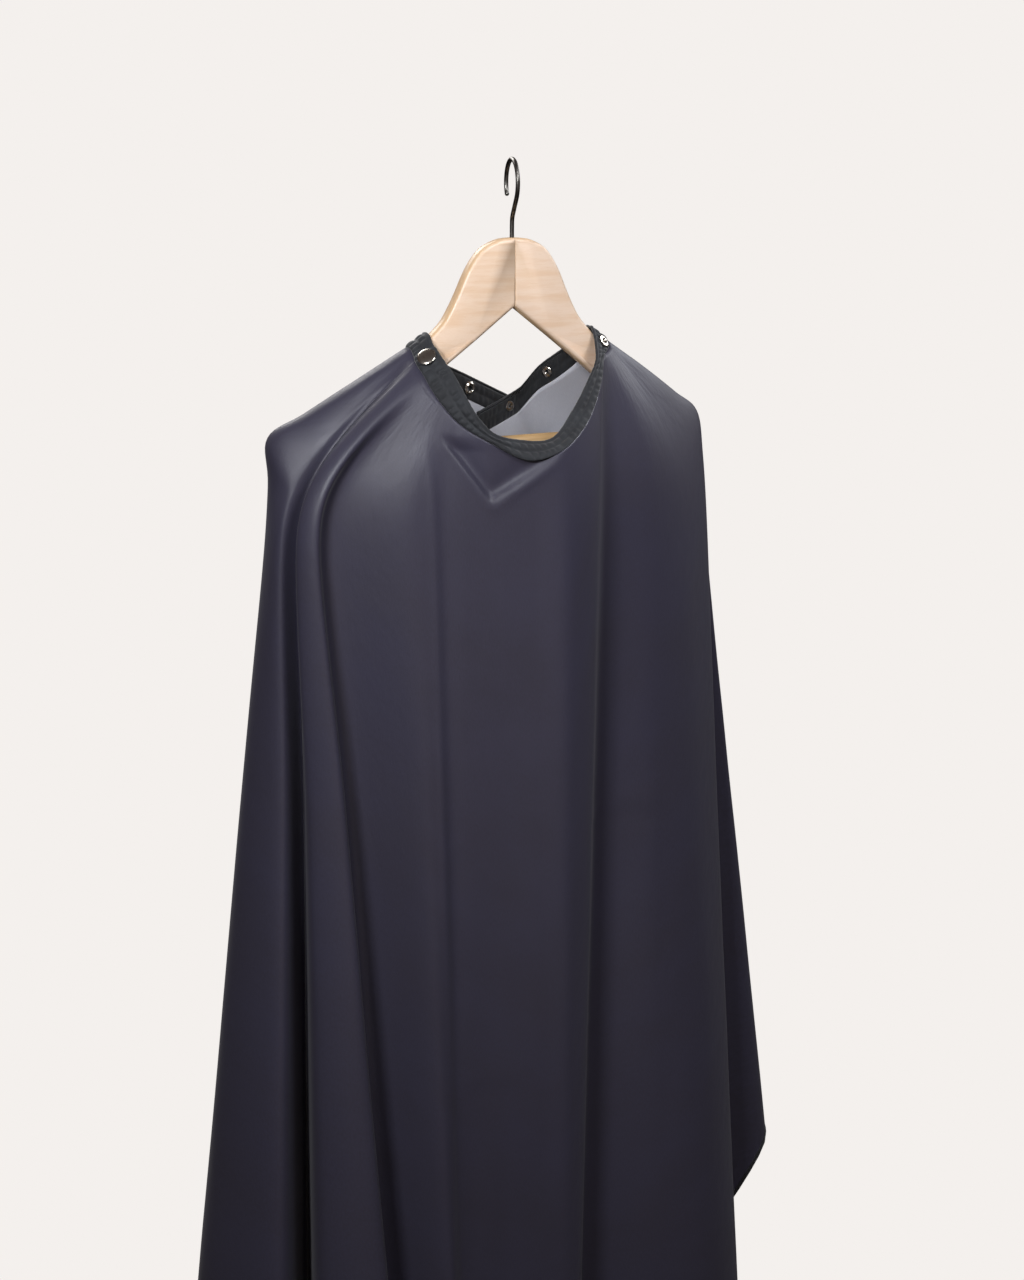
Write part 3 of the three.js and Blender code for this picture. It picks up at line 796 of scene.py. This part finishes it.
@dataclass
class Cape:
    """The cloth and the binding round its hem."""

    drape: Drape
    finishes: Finishes
    thickness: float = 0.6 * MM
    binding_width: float = 7 * MM
    split: int = 8
    binding_half: float = 0.95 * MM
    flat_size: tuple[float, float] = (1.2, 1.1)
    flat_area: float = 1.0

    def build(self) -> None:
        """Makes every piece."""
        self.grid = self.relief()
        self.normals = grid_normals(self.grid)
        count = len(self.drape.columns) - 1
        self.main = self.cloth_piece("cape_cloth", self.split, count)
        self.leaf = self.cloth_piece("back_left_cloth", 0, self.split)
        placed(self.main, Body.CAPE, Slot.CLOTH, "cape_panel")
        self.bend(self.leaf, Slot.CLOTH, "back_left_panel")
        hem = self.binding("hem_tape_main", self.split, count)
        placed(hem, Body.CAPE, Slot.BINDING, "hem_binding")
        hem_left = self.binding("hem_tape_back_left", 0, self.split)
        self.bend(hem_left, Slot.BINDING, "hem_binding_back_left")
        for piece, tape, share in ((self.main, hem, 0.67), (self.leaf, hem_left, 0.33)):
            width = self.flat_size[0] * share
            self.flat_area * share

    def relief(self) -> Array:
        """The cloth's middle surface in metres, with its creases and soft wrinkles."""
        grid = self.drape.cloth * MM
        normals = grid_normals(grid)
        lift = np.zeros(grid.shape[:2])
        below = np.clip((-0.2 - grid[..., 2]) / 0.5, 0, 1)
        for i in range(grid.shape[0]):
            for j in range(grid.shape[1]):
                p = grid[i, j]
                soft = noise.noise(Vector((p[0] * 16, p[1] * 16, p[2] * 2.2)))
                fine = noise.noise(Vector((p[0] * 45 + 7, p[1] * 45, p[2] * 9)))
                lift[i, j] = (1.1 * soft + 0.35 * fine) * MM * (0.25 + below[i, j])
        lift += self.cowl(grid) + self.creases(grid)
        return grid + normals * lift[..., None]

    def cowl(self, grid: Array) -> Array:
        """The slack below the front of the neckband, which sags to a point and tucks under it."""
        x, z = grid[..., 0] / MM, grid[..., 2] / MM
        tip_x, tip_z = -46.0, -254.0
        steep, shallow = 1.45, 0.62
        sag, depth = 1.6, 7.5
        left = tip_z + (tip_x - x) * steep
        right = tip_z + (x - tip_x) * shallow
        edge = np.where(x < tip_x, left, right)
        above = z - edge
        front = (grid[..., 1] < -0.03) & (x > -92) & (x < 26)
        inside = 1 / (1 + np.exp(-above / 2.6))
        hollow = inside * np.exp(-np.clip(above, 0, None) / 20)
        lip = np.exp(-((above + 5) / 6) ** 2)
        reach = np.exp(-((x - tip_x) / 48) ** 4)
        below_band = np.clip((-208 - z + 0.0012 * (x + 20) ** 2) / 10, 0, 1)
        return np.where(front, (sag * lip - depth * hollow) * reach * below_band, 0) * MM

    def creases(self, grid: Array) -> Array:
        """Faint lines where the cape was folded flat."""
        x, z = grid[..., 0] / MM, grid[..., 2] / MM
        front = grid[..., 1] < -0.02
        total = np.zeros(x.shape)
        line = x - (-91 - 0.012 * (z + 200))
        fade = np.clip((-205 - z) / 40, 0, 1) * np.clip((z + 900) / 300, 0, 1)
        total += np.where(front, fade * (1.1 * np.exp(-(line / 3.5) ** 2)
                                         - 0.9 * np.exp(-((line - 9) / 8) ** 2)), 0)
        for x0, x1, level, tilt, depth in (
            (40, 135, -548, -0.05, 0.7), (45, 75, -746, 0.25, 0.8),
            (-80, -20, -772, 0.06, 0.6), (-92, -60, -560, 0.5, 0.8),
        ):
            off = z - level - tilt * (x - (x0 + x1) / 2)
            along = np.clip((x - x0) / 18, 0, 1) * np.clip((x1 - x) / 18, 0, 1)
            total += np.where(front, along * (-depth * np.exp(-(off / 4.5) ** 2)
                                              + 0.6 * depth * np.exp(-((off - 9) / 7) ** 2)), 0)
        return total * MM

    def span(self, grid: Array, start: int, end: int) -> Array:
        """The part of a fine grid between two columns."""
        n = self.drape.across
        return grid[:, start * n:end * n + 1]

    def cloth_piece(self, name: str, start: int, end: int) -> Piece:
        """One stretch of the cloth, with its slate outside and pale inside."""
        full = self.grid.copy()
        edge = unit(full[-2] - full[-1])
        full[-1] += edge * 1.2 * MM
        grid = self.span(full, start, end)
        rows, cols = grid.shape[:2]
        middle = self.drape.rows_at_neck * 4
        u = arc_lengths(full[middle:middle + 1], 1)[0][start * self.drape.across:][:cols]
        uv = np.stack([np.broadcast_to(u, (rows, cols)), arc_lengths(grid, 0)], axis=-1)
        piece = mesh_piece(name, grid.reshape(-1, 3), grid_faces(rows, cols), self.finishes.outside,
                           uv.reshape(-1, 2))
        piece.data.materials.append(self.finishes.inside)
        apply_modifier(piece, "SOLIDIFY", thickness=self.thickness, offset=0, material_offset=1,
                       material_offset_rim=1, use_even_offset=False)
        return piece

    def bend(self, piece: Piece, slot: Slot, *nodes: str) -> None:
        """Bakes a piece's place into its mesh and hides the imported solids that it replaces; the
        fold line is worked out but not used.
        """
        d = self.drape
        top, low = np.array(d.hinge_top, float) * MM, np.array(d.hinge_low, float) * MM
        sideways = unit(np.cross(d.leaf_normal, d.hinge_axis))
        if sideways[0] < 0:
            sideways = -sideways
        middle = (top + low) / 2
        reach = 12 * MM
        deselect()
        tuple(middle - sideways * reach)
        tuple(middle + sideways * reach)
        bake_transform(piece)
        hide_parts(*nodes)
        LOG.info("%s bends from %s to %s", piece.name, Body.CAPE.value, Body.BACK_LEFT.value)

    def binding(self, name: str, start: int, end: int) -> Piece:
        """The tape folded round a stretch of the hem."""
        last = self.span(self.grid, start, end)[-1]
        above = self.span(self.grid, start, end)[-2]
        out = self.span(self.normals, start, end)[-1]
        up = unit(above - last)
        w, h, fold = self.binding_width, self.binding_half, 0.45 * MM
        outer = [(w, h * 0.8), (w * 0.6, h), (1.2 * MM, h), (0.3 * MM, h * 0.7), (-0.1 * MM, 0)]
        back = [(t, -n) for t, n in outer[-2::-1]]
        inner = [(w, -fold), (1.6 * MM, -fold), (1.6 * MM, fold), (w, fold)]
        section = np.array(outer + back + inner)
        return swept(name, last, up, out, lambda j: section, self.finishes.binding)


@dataclass
class Neckband:
    """The shirred band: its puckered outside, the elastic within and the facing."""

    drape: Drape
    cape: Cape
    finishes: Finishes
    split: int = 4
    gather: float = 6.2 * MM
    bead: float = 1.25 * MM

    def build(self) -> None:
        """Makes every layer of both stretches."""
        band = self.drape.band * MM
        self.line = band[0]
        self.down = unit(band[2] - band[0])
        self.width = np.linalg.norm(band[2] - band[0], axis=1)
        self.out = grid_normals(band)[1]
        self.lengths = arc_lengths(self.line[None], 1)[0]
        count = len(self.drape.columns) - 1
        for start, end, left in ((self.split, count, False), (0, self.split, True)):
            part = "left_end_" if left else ""
            for layer, profile, finish, slot in (
                ("outer", self.outer, self.finishes.band, Slot.NECKBAND),
                ("elastic", self.elastic, self.finishes.elastic, Slot.ELASTIC),
                ("facing", self.facing, self.finishes.facing, Slot.NECKBAND),
            ):
                piece = self.layer(f"band_{part}{layer}", start, end, profile, finish)
                node = f"neckband_{part}{layer}"
                if left:
                    self.cape.bend(piece, slot, node)
                else:
                    placed(piece, Body.CAPE, slot, node)

    def layer(self, name: str, start: int, end: int, profile: Callable[[int], Array],
              finish: bpy.types.Material) -> Piece:
        """One layer between two columns."""
        n = self.drape.across * 3
        first, last = start * n, end * n + 1
        part = slice(first, last)
        return swept(name, self.line[part], self.down[part], self.out[part],
                     lambda j: profile(first + j), finish)

    def pucker(self, j: int, row: int) -> float:
        """How full the gathers stand at a place, from 0 in a pinch to 1."""
        wander = noise.noise(Vector((self.lengths[j] * 60, row * 3.1, 0))) * 1.2
        wave = abs(math.sin(math.pi * (self.lengths[j] / self.gather + wander + row * 0.37)))
        return 0.2 + 0.8 * wave ** 0.8

    def channels(self, j: int, start: float, gap: float, row: int, count: int,
                 puff: float) -> list[tuple[float, float]]:
        """Two puckered channels side by side.

        Args:
            j: the place along the band.
            start: where the first begins across it.
            gap: half the width of the seam between them.
            row: the first one's row of gathers.
            count: points in each.
            puff: how far a full gather stands out, in millimetres.

        Returns:
            Places across the band and heights above its middle.
        """
        w = self.width[j]
        middle = w / 2 + 0.6 * MM
        points = []
        for k, (a, c) in enumerate(((start, middle - gap), (middle + gap, w - 0.4 * MM))):
            full = self.pucker(j, row + k)
            for step in range(count):
                t = step / (count - 1)
                arch = math.sin(math.pi * t) ** 0.6
                points.append((a + (c - a) * t, (0.75 + puff * arch * full) * MM))
        return points

    def outer(self, j: int) -> Array:
        """The outside layer's section: a rolled edge and two puckered channels."""
        w, b = self.width[j], self.bead
        rolled = []
        swell = 0.85 + 0.15 * self.pucker(j, 0)
        for step in range(9):
            a = math.radians(-110 + step * 28)
            rolled.append((0.7 * MM - b * swell * math.cos(a), 0.25 * MM + b * swell * math.sin(a)))
        channels = self.channels(j, 2.6 * MM, 0.5 * MM, 1, 9, 1.35)
        inner = [(w, 0.45 * MM), (w * 0.5, 0.45 * MM), (2.0 * MM, 0.45 * MM)]
        return np.array(rolled + channels + inner)

    def facing(self, j: int) -> Array:
        """The inside layer's section: flatter, with the same two channels."""
        w = self.width[j]
        face = [(x, -h) for x, h in self.channels(j, 2.2 * MM, 0.4 * MM, 4, 7, 0.75)]
        back = [(w, -0.45 * MM), (w * 0.5, -0.45 * MM), (2.2 * MM, -0.45 * MM)]
        return np.array((face + back)[::-1])

    def elastic(self, j: int) -> Array:
        """The elastic's flat section."""
        w, t = self.width[j], 0.35 * MM
        return np.array([(3 * MM, t), (w - 1.5 * MM, t), (w - 1.5 * MM, -t), (3 * MM, -t)])


# ---------- snaps ----------
class Turned:
    """A piece turned about an axis: rings grown one from the next, as on a lathe."""

    def __init__(self, profile: Sequence[tuple[float, float]], sides: int = 48) -> None:
        """Keeps the profile, as radius and height in metres."""
        self.profile = profile
        self.sides = sides

    def make(self, base: Vector, axis: Vector, closed: bool = False) -> Piece:
        """Models the piece with its foot at base.

        Args:
            base: where the profile's height is nought.
            axis: the direction in which the height grows.
            closed: True for a ring, whose last circle is bridged to its first.

        Returns:
            The object, with its place in its mesh.
        """
        deselect()
        (r0, h0), *rest = self.profile
        fill = "NOTHING" if closed else "NGON"
        bpy.ops.mesh.primitive_circle_add(vertices=self.sides, radius=r0, fill_type=fill,
                                          location=(0, 0, h0))
        piece = bpy.context.object
        bpy.ops.object.transform_apply(location=True, rotation=False, scale=False)
        bpy.ops.object.mode_set(mode="EDIT")
        bpy.ops.mesh.select_all(action="SELECT")
        radius, height = r0, h0
        for r, h in rest:
            grow = r / radius
            extrude = (bpy.ops.mesh.extrude_edges_move if closed
                       else bpy.ops.mesh.extrude_region_move)
            extrude(TRANSFORM_OT_translate={"value": (0, 0, h - height)})
            bpy.ops.transform.resize(value=(grow, grow, 1), center_override=(0, 0, h))
            radius, height = r, h
        bpy.ops.mesh.select_all(action="SELECT")
        if closed:
            bpy.ops.mesh.remove_doubles(threshold=0.000005)
        bpy.ops.mesh.normals_make_consistent(inside=False)
        bpy.ops.object.mode_set(mode="OBJECT")
        piece.rotation_mode = "QUATERNION"
        piece.rotation_quaternion = axis.to_track_quat("Z", "Y")
        piece.location = base
        bpy.ops.object.transform_apply(location=True, rotation=True, scale=False)
        bpy.ops.object.shade_smooth_by_angle(angle=math.radians(40))
        return piece


def solid_points(node: str) -> Array:
    """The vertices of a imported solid."""
    return np.array([v.co for v in frame["nodes"][node].data.vertices], float)


def seat_of(node: str, partner: str) -> tuple[Vector, Vector]:
    """Where a disc-shaped solid sits.

    Args:
        node: the disc.
        partner: the disc on the band's other side.

    Returns:
        The middle of its foot and the unit vector away from its partner.
    """
    points = solid_points(node)
    centre = (points.min(0) + points.max(0)) / 2
    spread = points - points.mean(0)
    axis = np.linalg.svd(spread, full_matrices=False)[2][2]
    other = solid_points(partner)
    if axis @ (centre - (other.min(0) + other.max(0)) / 2) < 0:
        axis = -axis
    foot = ((points - centre) @ axis).min()
    return Vector(centre + axis * foot), Vector(axis)


@dataclass
class Snaps:
    """Caps, sockets with their springs, studs and posts along the neckband, in metres."""

    finishes: Finishes
    cap_radius: float = 7.5 * MM
    cap_height: float = 2.6 * MM
    socket_radius: float = 5.6 * MM
    socket_height: float = 2.0 * MM
    bore_radius: float = 3.1 * MM
    nub_radius: float = 2.0 * MM
    post_radius: float = 4.6 * MM

    def build(self) -> None:
        """Makes five socket halves and four stud halves."""
        for i in range(1, 6):
            body = Body.CAPE if i < 3 else Body.BACK_LEFT
            cap, socket, spring = f"snap_cap_{i}", f"snap_socket_{i}", f"socket_spring_{i}"
            base, out = seat_of(cap, socket)
            inner, inward = seat_of(socket, cap)
            self.finish(self.cap(base, out), cap, body)
            self.finish(self.socket(inner, inward), socket, body)
            self.finish(self.spring(inner, inward), spring, body, Slot.SPRING)
        for i in range(1, 5):
            stud, post = f"snap_stud_{i}", f"stud_post_{i}"
            base, out = seat_of(stud, post)
            inner, inward = seat_of(post, stud)
            self.finish(self.stud(base, out), stud, Body.CAPE)
            self.finish(self.post(inner, inward), post, Body.CAPE)

    def finish(self, piece: Piece, node: str, body: Body,
               slot: Slot = Slot.NICKEL) -> None:
        """Names, dresses and places one snap piece."""
        metal = self.finishes.nickel if slot is Slot.NICKEL else self.finishes.spring
        placed(dress(piece, f"{node}_shell", metal), body, slot, node)

    def cap(self, base: Vector, axis: Vector) -> Piece:
        """A domed cap with a rolled rim."""
        r, h = self.cap_radius, self.cap_height
        rim = [(r * 0.93, 0), (r * 0.985, 0.12 * h), (r, 0.26 * h), (r * 0.985, 0.4 * h)]
        dome = [(r * math.cos(a), 0.4 * h + 0.6 * h * math.sin(a))
                for a in (math.radians(12 + 7.5 * k) for k in range(11))]
        return Turned(rim + dome).make(base, axis)

    def socket(self, base: Vector, axis: Vector) -> Piece:
        """A ring with a bore, a groove and a rounded shoulder."""
        r, h, b = self.socket_radius, self.socket_height, self.bore_radius
        ring = [(b, 0), (r * 0.96, 0), (r, 0.12 * h), (r, 0.45 * h), (r * 0.95, 0.62 * h),
                (r * 0.84, 0.68 * h), (r * 0.8, 0.8 * h), (r * 0.74, 0.96 * h), (r * 0.68, h),
                (r * 0.61, 0.94 * h), (b, 0.8 * h), (b, 0)]
        return Turned(ring).make(base, axis, closed=True)

    def spring(self, base: Vector, axis: Vector) -> Piece:
        """The wire ring that grips a stud."""
        wire = 0.3 * MM
        middle = self.bore_radius - 0.3 * MM - wire
        half = self.socket_height / 2
        ring = [(middle + wire * math.cos(a), half + wire * math.sin(a))
                for a in (k * math.pi / 4 for k in range(9))]
        return Turned(ring).make(base, axis, closed=True)

    def stud(self, base: Vector, axis: Vector) -> Piece:
        """A flanged stud with its ball."""
        r, n = self.socket_radius, self.nub_radius
        flange = [(r * 0.95, 0), (r, 0.2 * MM), (r, 0.55 * MM), (r * 0.94, 0.85 * MM),
                  (r * 0.8, 1.0 * MM), (r * 0.6, 0.9 * MM), (n * 1.15, 1.0 * MM),
                  (n * 0.92, 1.3 * MM)]
        ball = [(n * math.cos(a), 1.95 * MM + 0.85 * MM * math.sin(a))
                for a in (math.radians(-25 + 12.5 * k) for k in range(10))]
        return Turned(flange + ball).make(base, axis)

    def post(self, base: Vector, axis: Vector) -> Piece:
        """The open ring that holds a stud from the band's other side."""
        r = self.post_radius
        hole = 1.3 * MM
        ring = [(hole, 0), (r * 0.95, 0), (r, 0.2 * MM), (r * 0.98, 0.6 * MM), (r * 0.85, 0.9 * MM),
                (r * 0.6, 1.0 * MM), (r * 0.42, 0.8 * MM), (hole, 0.5 * MM), (hole, 0)]
        return Turned(ring).make(base, axis, closed=True)


# ---------- hanger ----------
@dataclass
class Hanger:
    """The wooden arms, the bar, the dowel and the wire hook, in metres."""

    finishes: Finishes
    wire: float = 1.8 * MM
    inner: float = 16 * MM
    height: float = 58 * MM
    depth: float = 27 * MM
    turn: float = 80
    head_radius: float = 3.6 * MM
    head_length: float = 3 * MM

    def build(self) -> None:
        """Makes every piece."""
        f = self.finishes
        for node, name, finish, slot in (
            ("hanger_left_arm", "hanger_arm_left", f.left_wood, Slot.PALE_WOOD),
            ("hanger_right_arm", "hanger_arm_right", f.right_wood, Slot.PALE_WOOD),
            ("trouser_bar", "bar_rod", f.bar, Slot.BAR_WOOD),
            ("joint_dowel", "dowel_pin", f.bar, Slot.BAR_WOOD),
        ):
            smoothed_copy(node, name, finish, Body.HANGER, slot)
        placed(self.hook(), Body.HOOK, Slot.STEEL, "hook")

    def hook(self) -> Piece:
        """The bent wire with its rounded tip and the head inside the wood."""
        r = self.inner + self.wire
        low = -self.height - self.depth
        arc = [(r * math.cos(math.radians(a)), -self.inner + r * math.sin(math.radians(a)))
               for a in range(-35, 216, 10)]
        neck = [(-6 * MM, -self.inner - r - 2.5 * MM), (-1 * MM, -self.inner - r - 9 * MM),
                (0, -self.inner - r - 16 * MM), (0, low)]
        path = np.array([(x, 0, z) for x, z in arc + neck])
        places = np.linspace(0, len(path) - 1, 160)
        line = catmull(path, places)
        spin = Matrix.Rotation(math.radians(self.turn), 3, "Z")
        curve = bpy.data.curves.new("hook_wire", "CURVE")
        curve.dimensions = "3D"
        curve.bevel_depth = self.wire
        curve.bevel_resolution = 4
        curve.use_fill_caps = True
        spline = curve.splines.new("POLY")
        spline.points.add(len(line) - 1)
        travelled = arc_lengths(line[None], 1)[0]
        for point, place, s in zip(spline.points, line, travelled):
            point.co = (*(spin @ Vector(place)), 1)
            inside = min(1.0, s / self.wire + 0.08)
            point.radius = math.sqrt(1 - (1 - inside) ** 2)
        activate(linked("hook_wire", curve))
        bpy.ops.object.convert(target="MESH")
        piece = bpy.context.object
        head = Turned([(self.head_radius * 0.9, 0), (self.head_radius, 0.3 * MM),
                       (self.head_radius, self.head_length - 0.3 * MM),
                       (self.head_radius * 0.9, self.head_length)], 24)
        disc = head.make(Vector((0, 0, low)), Vector((0, 0, -1)))
        activate(piece)
        disc.select_set(True)
        bpy.ops.object.join()
        bpy.ops.object.shade_smooth_by_angle(angle=math.radians(40))
        return dress(piece, "hook_wire", self.finishes.steel)


# ---------- stage ----------
@dataclass
class Studio:
    """The camera, the lights and the pale floor."""

    backdrop: Rgb = (244, 240, 237)
    camera_place: tuple[float, float, float] = (-0.5967, -1.2797, 0.0104)
    camera_azimuth: float = -25
    camera_pitch: float = -15.8
    lens: float = 48.94

    def build(self) -> None:
        """Sets up everything that isn't part of the object."""
        self.camera()
        self.world()
        self.floor()
        cool, warm, clear = (0.93, 0.95, 1.0), (1.0, 0.86, 0.8), (1.0, 0.99, 0.98)
        self.light("key", (-1.15, -1.05, 0.5), (0.0, 0.0, -0.22), 0.4, 7.4, cool, 110)
        self.light("front", (0.25, -1.1, 0.75), (0.08, 0.0, -0.22), 0.45, 4.1, cool, 110)
        self.light("side", (1.3, 0.2, 0.5), (0.05, 0.0, -0.35), 0.6, 5, cool, 140)
        self.light("bounce", (-0.3, -1.6, -1.0), (0.0, 0.0, -0.8), 1.2, 1.6, warm, 140)
        self.light("back", (-0.2, 1.3, 0.8), (0.0, 0.0, -0.3), 0.8, 11, clear, 160)
        scene = bpy.context.scene
        scene.view_settings.view_transform = "Standard"

    def camera(self) -> None:
        """The view from the front left, a little above."""
        data = bpy.data.cameras.new("camera")
        data.lens = self.lens
        data.sensor_width = 36
        data.clip_end = 50
        camera = linked("camera", data)
        a, e = math.radians(self.camera_azimuth), math.radians(-self.camera_pitch)
        back = Vector((math.sin(a) * math.cos(e), -math.cos(a) * math.cos(e), math.sin(e)))
        camera.location = self.camera_place
        camera.rotation_euler = (-back).to_track_quat("-Z", "Y").to_euler()
        bpy.context.scene.camera = camera

    def world(self) -> None:
        """A pale backdrop that lights the object only softly."""
        world = bpy.data.worlds.new("studio")
        bpy.context.scene.world = world
        world.use_nodes = True
        tree = world.node_tree
        tree.nodes.clear()
        seen = tree.nodes.new("ShaderNodeBackground")
        seen.inputs[0].default_value = paint(self.backdrop)
        felt = tree.nodes.new("ShaderNodeBackground")
        felt.inputs[0].default_value = (1.0, 0.8, 0.76, 1)
        felt.inputs[1].default_value = 0.075
        rays = tree.nodes.new("ShaderNodeLightPath")
        both = tree.nodes.new("ShaderNodeMixShader")
        out = tree.nodes.new("ShaderNodeOutputWorld")
        tree.links.new(rays.outputs["Is Camera Ray"], both.inputs[0])
        tree.links.new(felt.outputs[0], both.inputs[1])
        tree.links.new(seen.outputs[0], both.inputs[2])
        tree.links.new(both.outputs[0], out.inputs[0])

    def floor(self) -> None:
        """A wide pale floor under the hem."""
        deselect()
        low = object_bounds()[0].z
        bpy.ops.mesh.primitive_plane_add(size=40, location=(0, 0, low - 0.06))
        floor = bpy.context.object
        bpy.ops.object.transform_apply(location=True)
        dress(floor, "studio_floor", self.floor_finish())
        floor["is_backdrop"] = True
        deselect()

    def floor_finish(self) -> bpy.types.Material:
        """A floor that is as pale as the backdrop and sends little light up."""
        s = Shader("pale_floor")
        s.surface(Base_Color=(0.05, 0.045, 0.042, 1), Roughness=0.9, Specular_IOR_Level=0.0)
        glow = s.node("ShaderNodeEmission", {}, {"Color": paint(self.backdrop)})
        seen = s.node("ShaderNodeLightPath", {}, {}, "Is Camera Ray")
        body = Socket(s, s.principled.outputs[0])
        both = s.node("ShaderNodeMixShader", {}, {0: seen, 1: body, 2: glow})
        out = next(n for n in s.tree.nodes if n.type == "OUTPUT_MATERIAL")
        s.tree.links.new(both.link, out.inputs[0])
        return s.material

    def light(self, name: str, place: Sequence[float], target: Sequence[float], size: float,
              power: float, colour: Rgb, spread: float) -> None:
        """A soft square light that looks at a point, with its spread in degrees."""
        data = bpy.data.lights.new(name, "AREA")
        data.shape = "SQUARE"
        data.size = size
        data.energy = power
        data.color = colour
        data.spread = math.radians(spread)
        lamp = linked(name, data)
        lamp.location = place
        aim = Vector(target) - Vector(place)
        lamp.rotation_euler = aim.to_track_quat("-Z", "Y").to_euler()


def corners(box: tuple[Vector, Vector]) -> list[list[float]]:
    """A box as plain lists."""
    return [list(box[0]), list(box[1])]


def main() -> None:
    """Builds the object in order."""
    cad_box = corners(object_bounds())
    Studio().build()
    finishes = Finishes()
    LOG.info("materials are made")
    drape = Drape()
    Hanger(finishes).build()
    cape = Cape(drape, finishes)
    cape.build()
    Neckband(drape, cape, finishes).build()
    Snaps(finishes).build()
    json.dumps(corners(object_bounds()))


if __name__ == "__main__":
    logging.basicConfig(level=logging.INFO, format="%(message)s")
    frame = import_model()
    main()
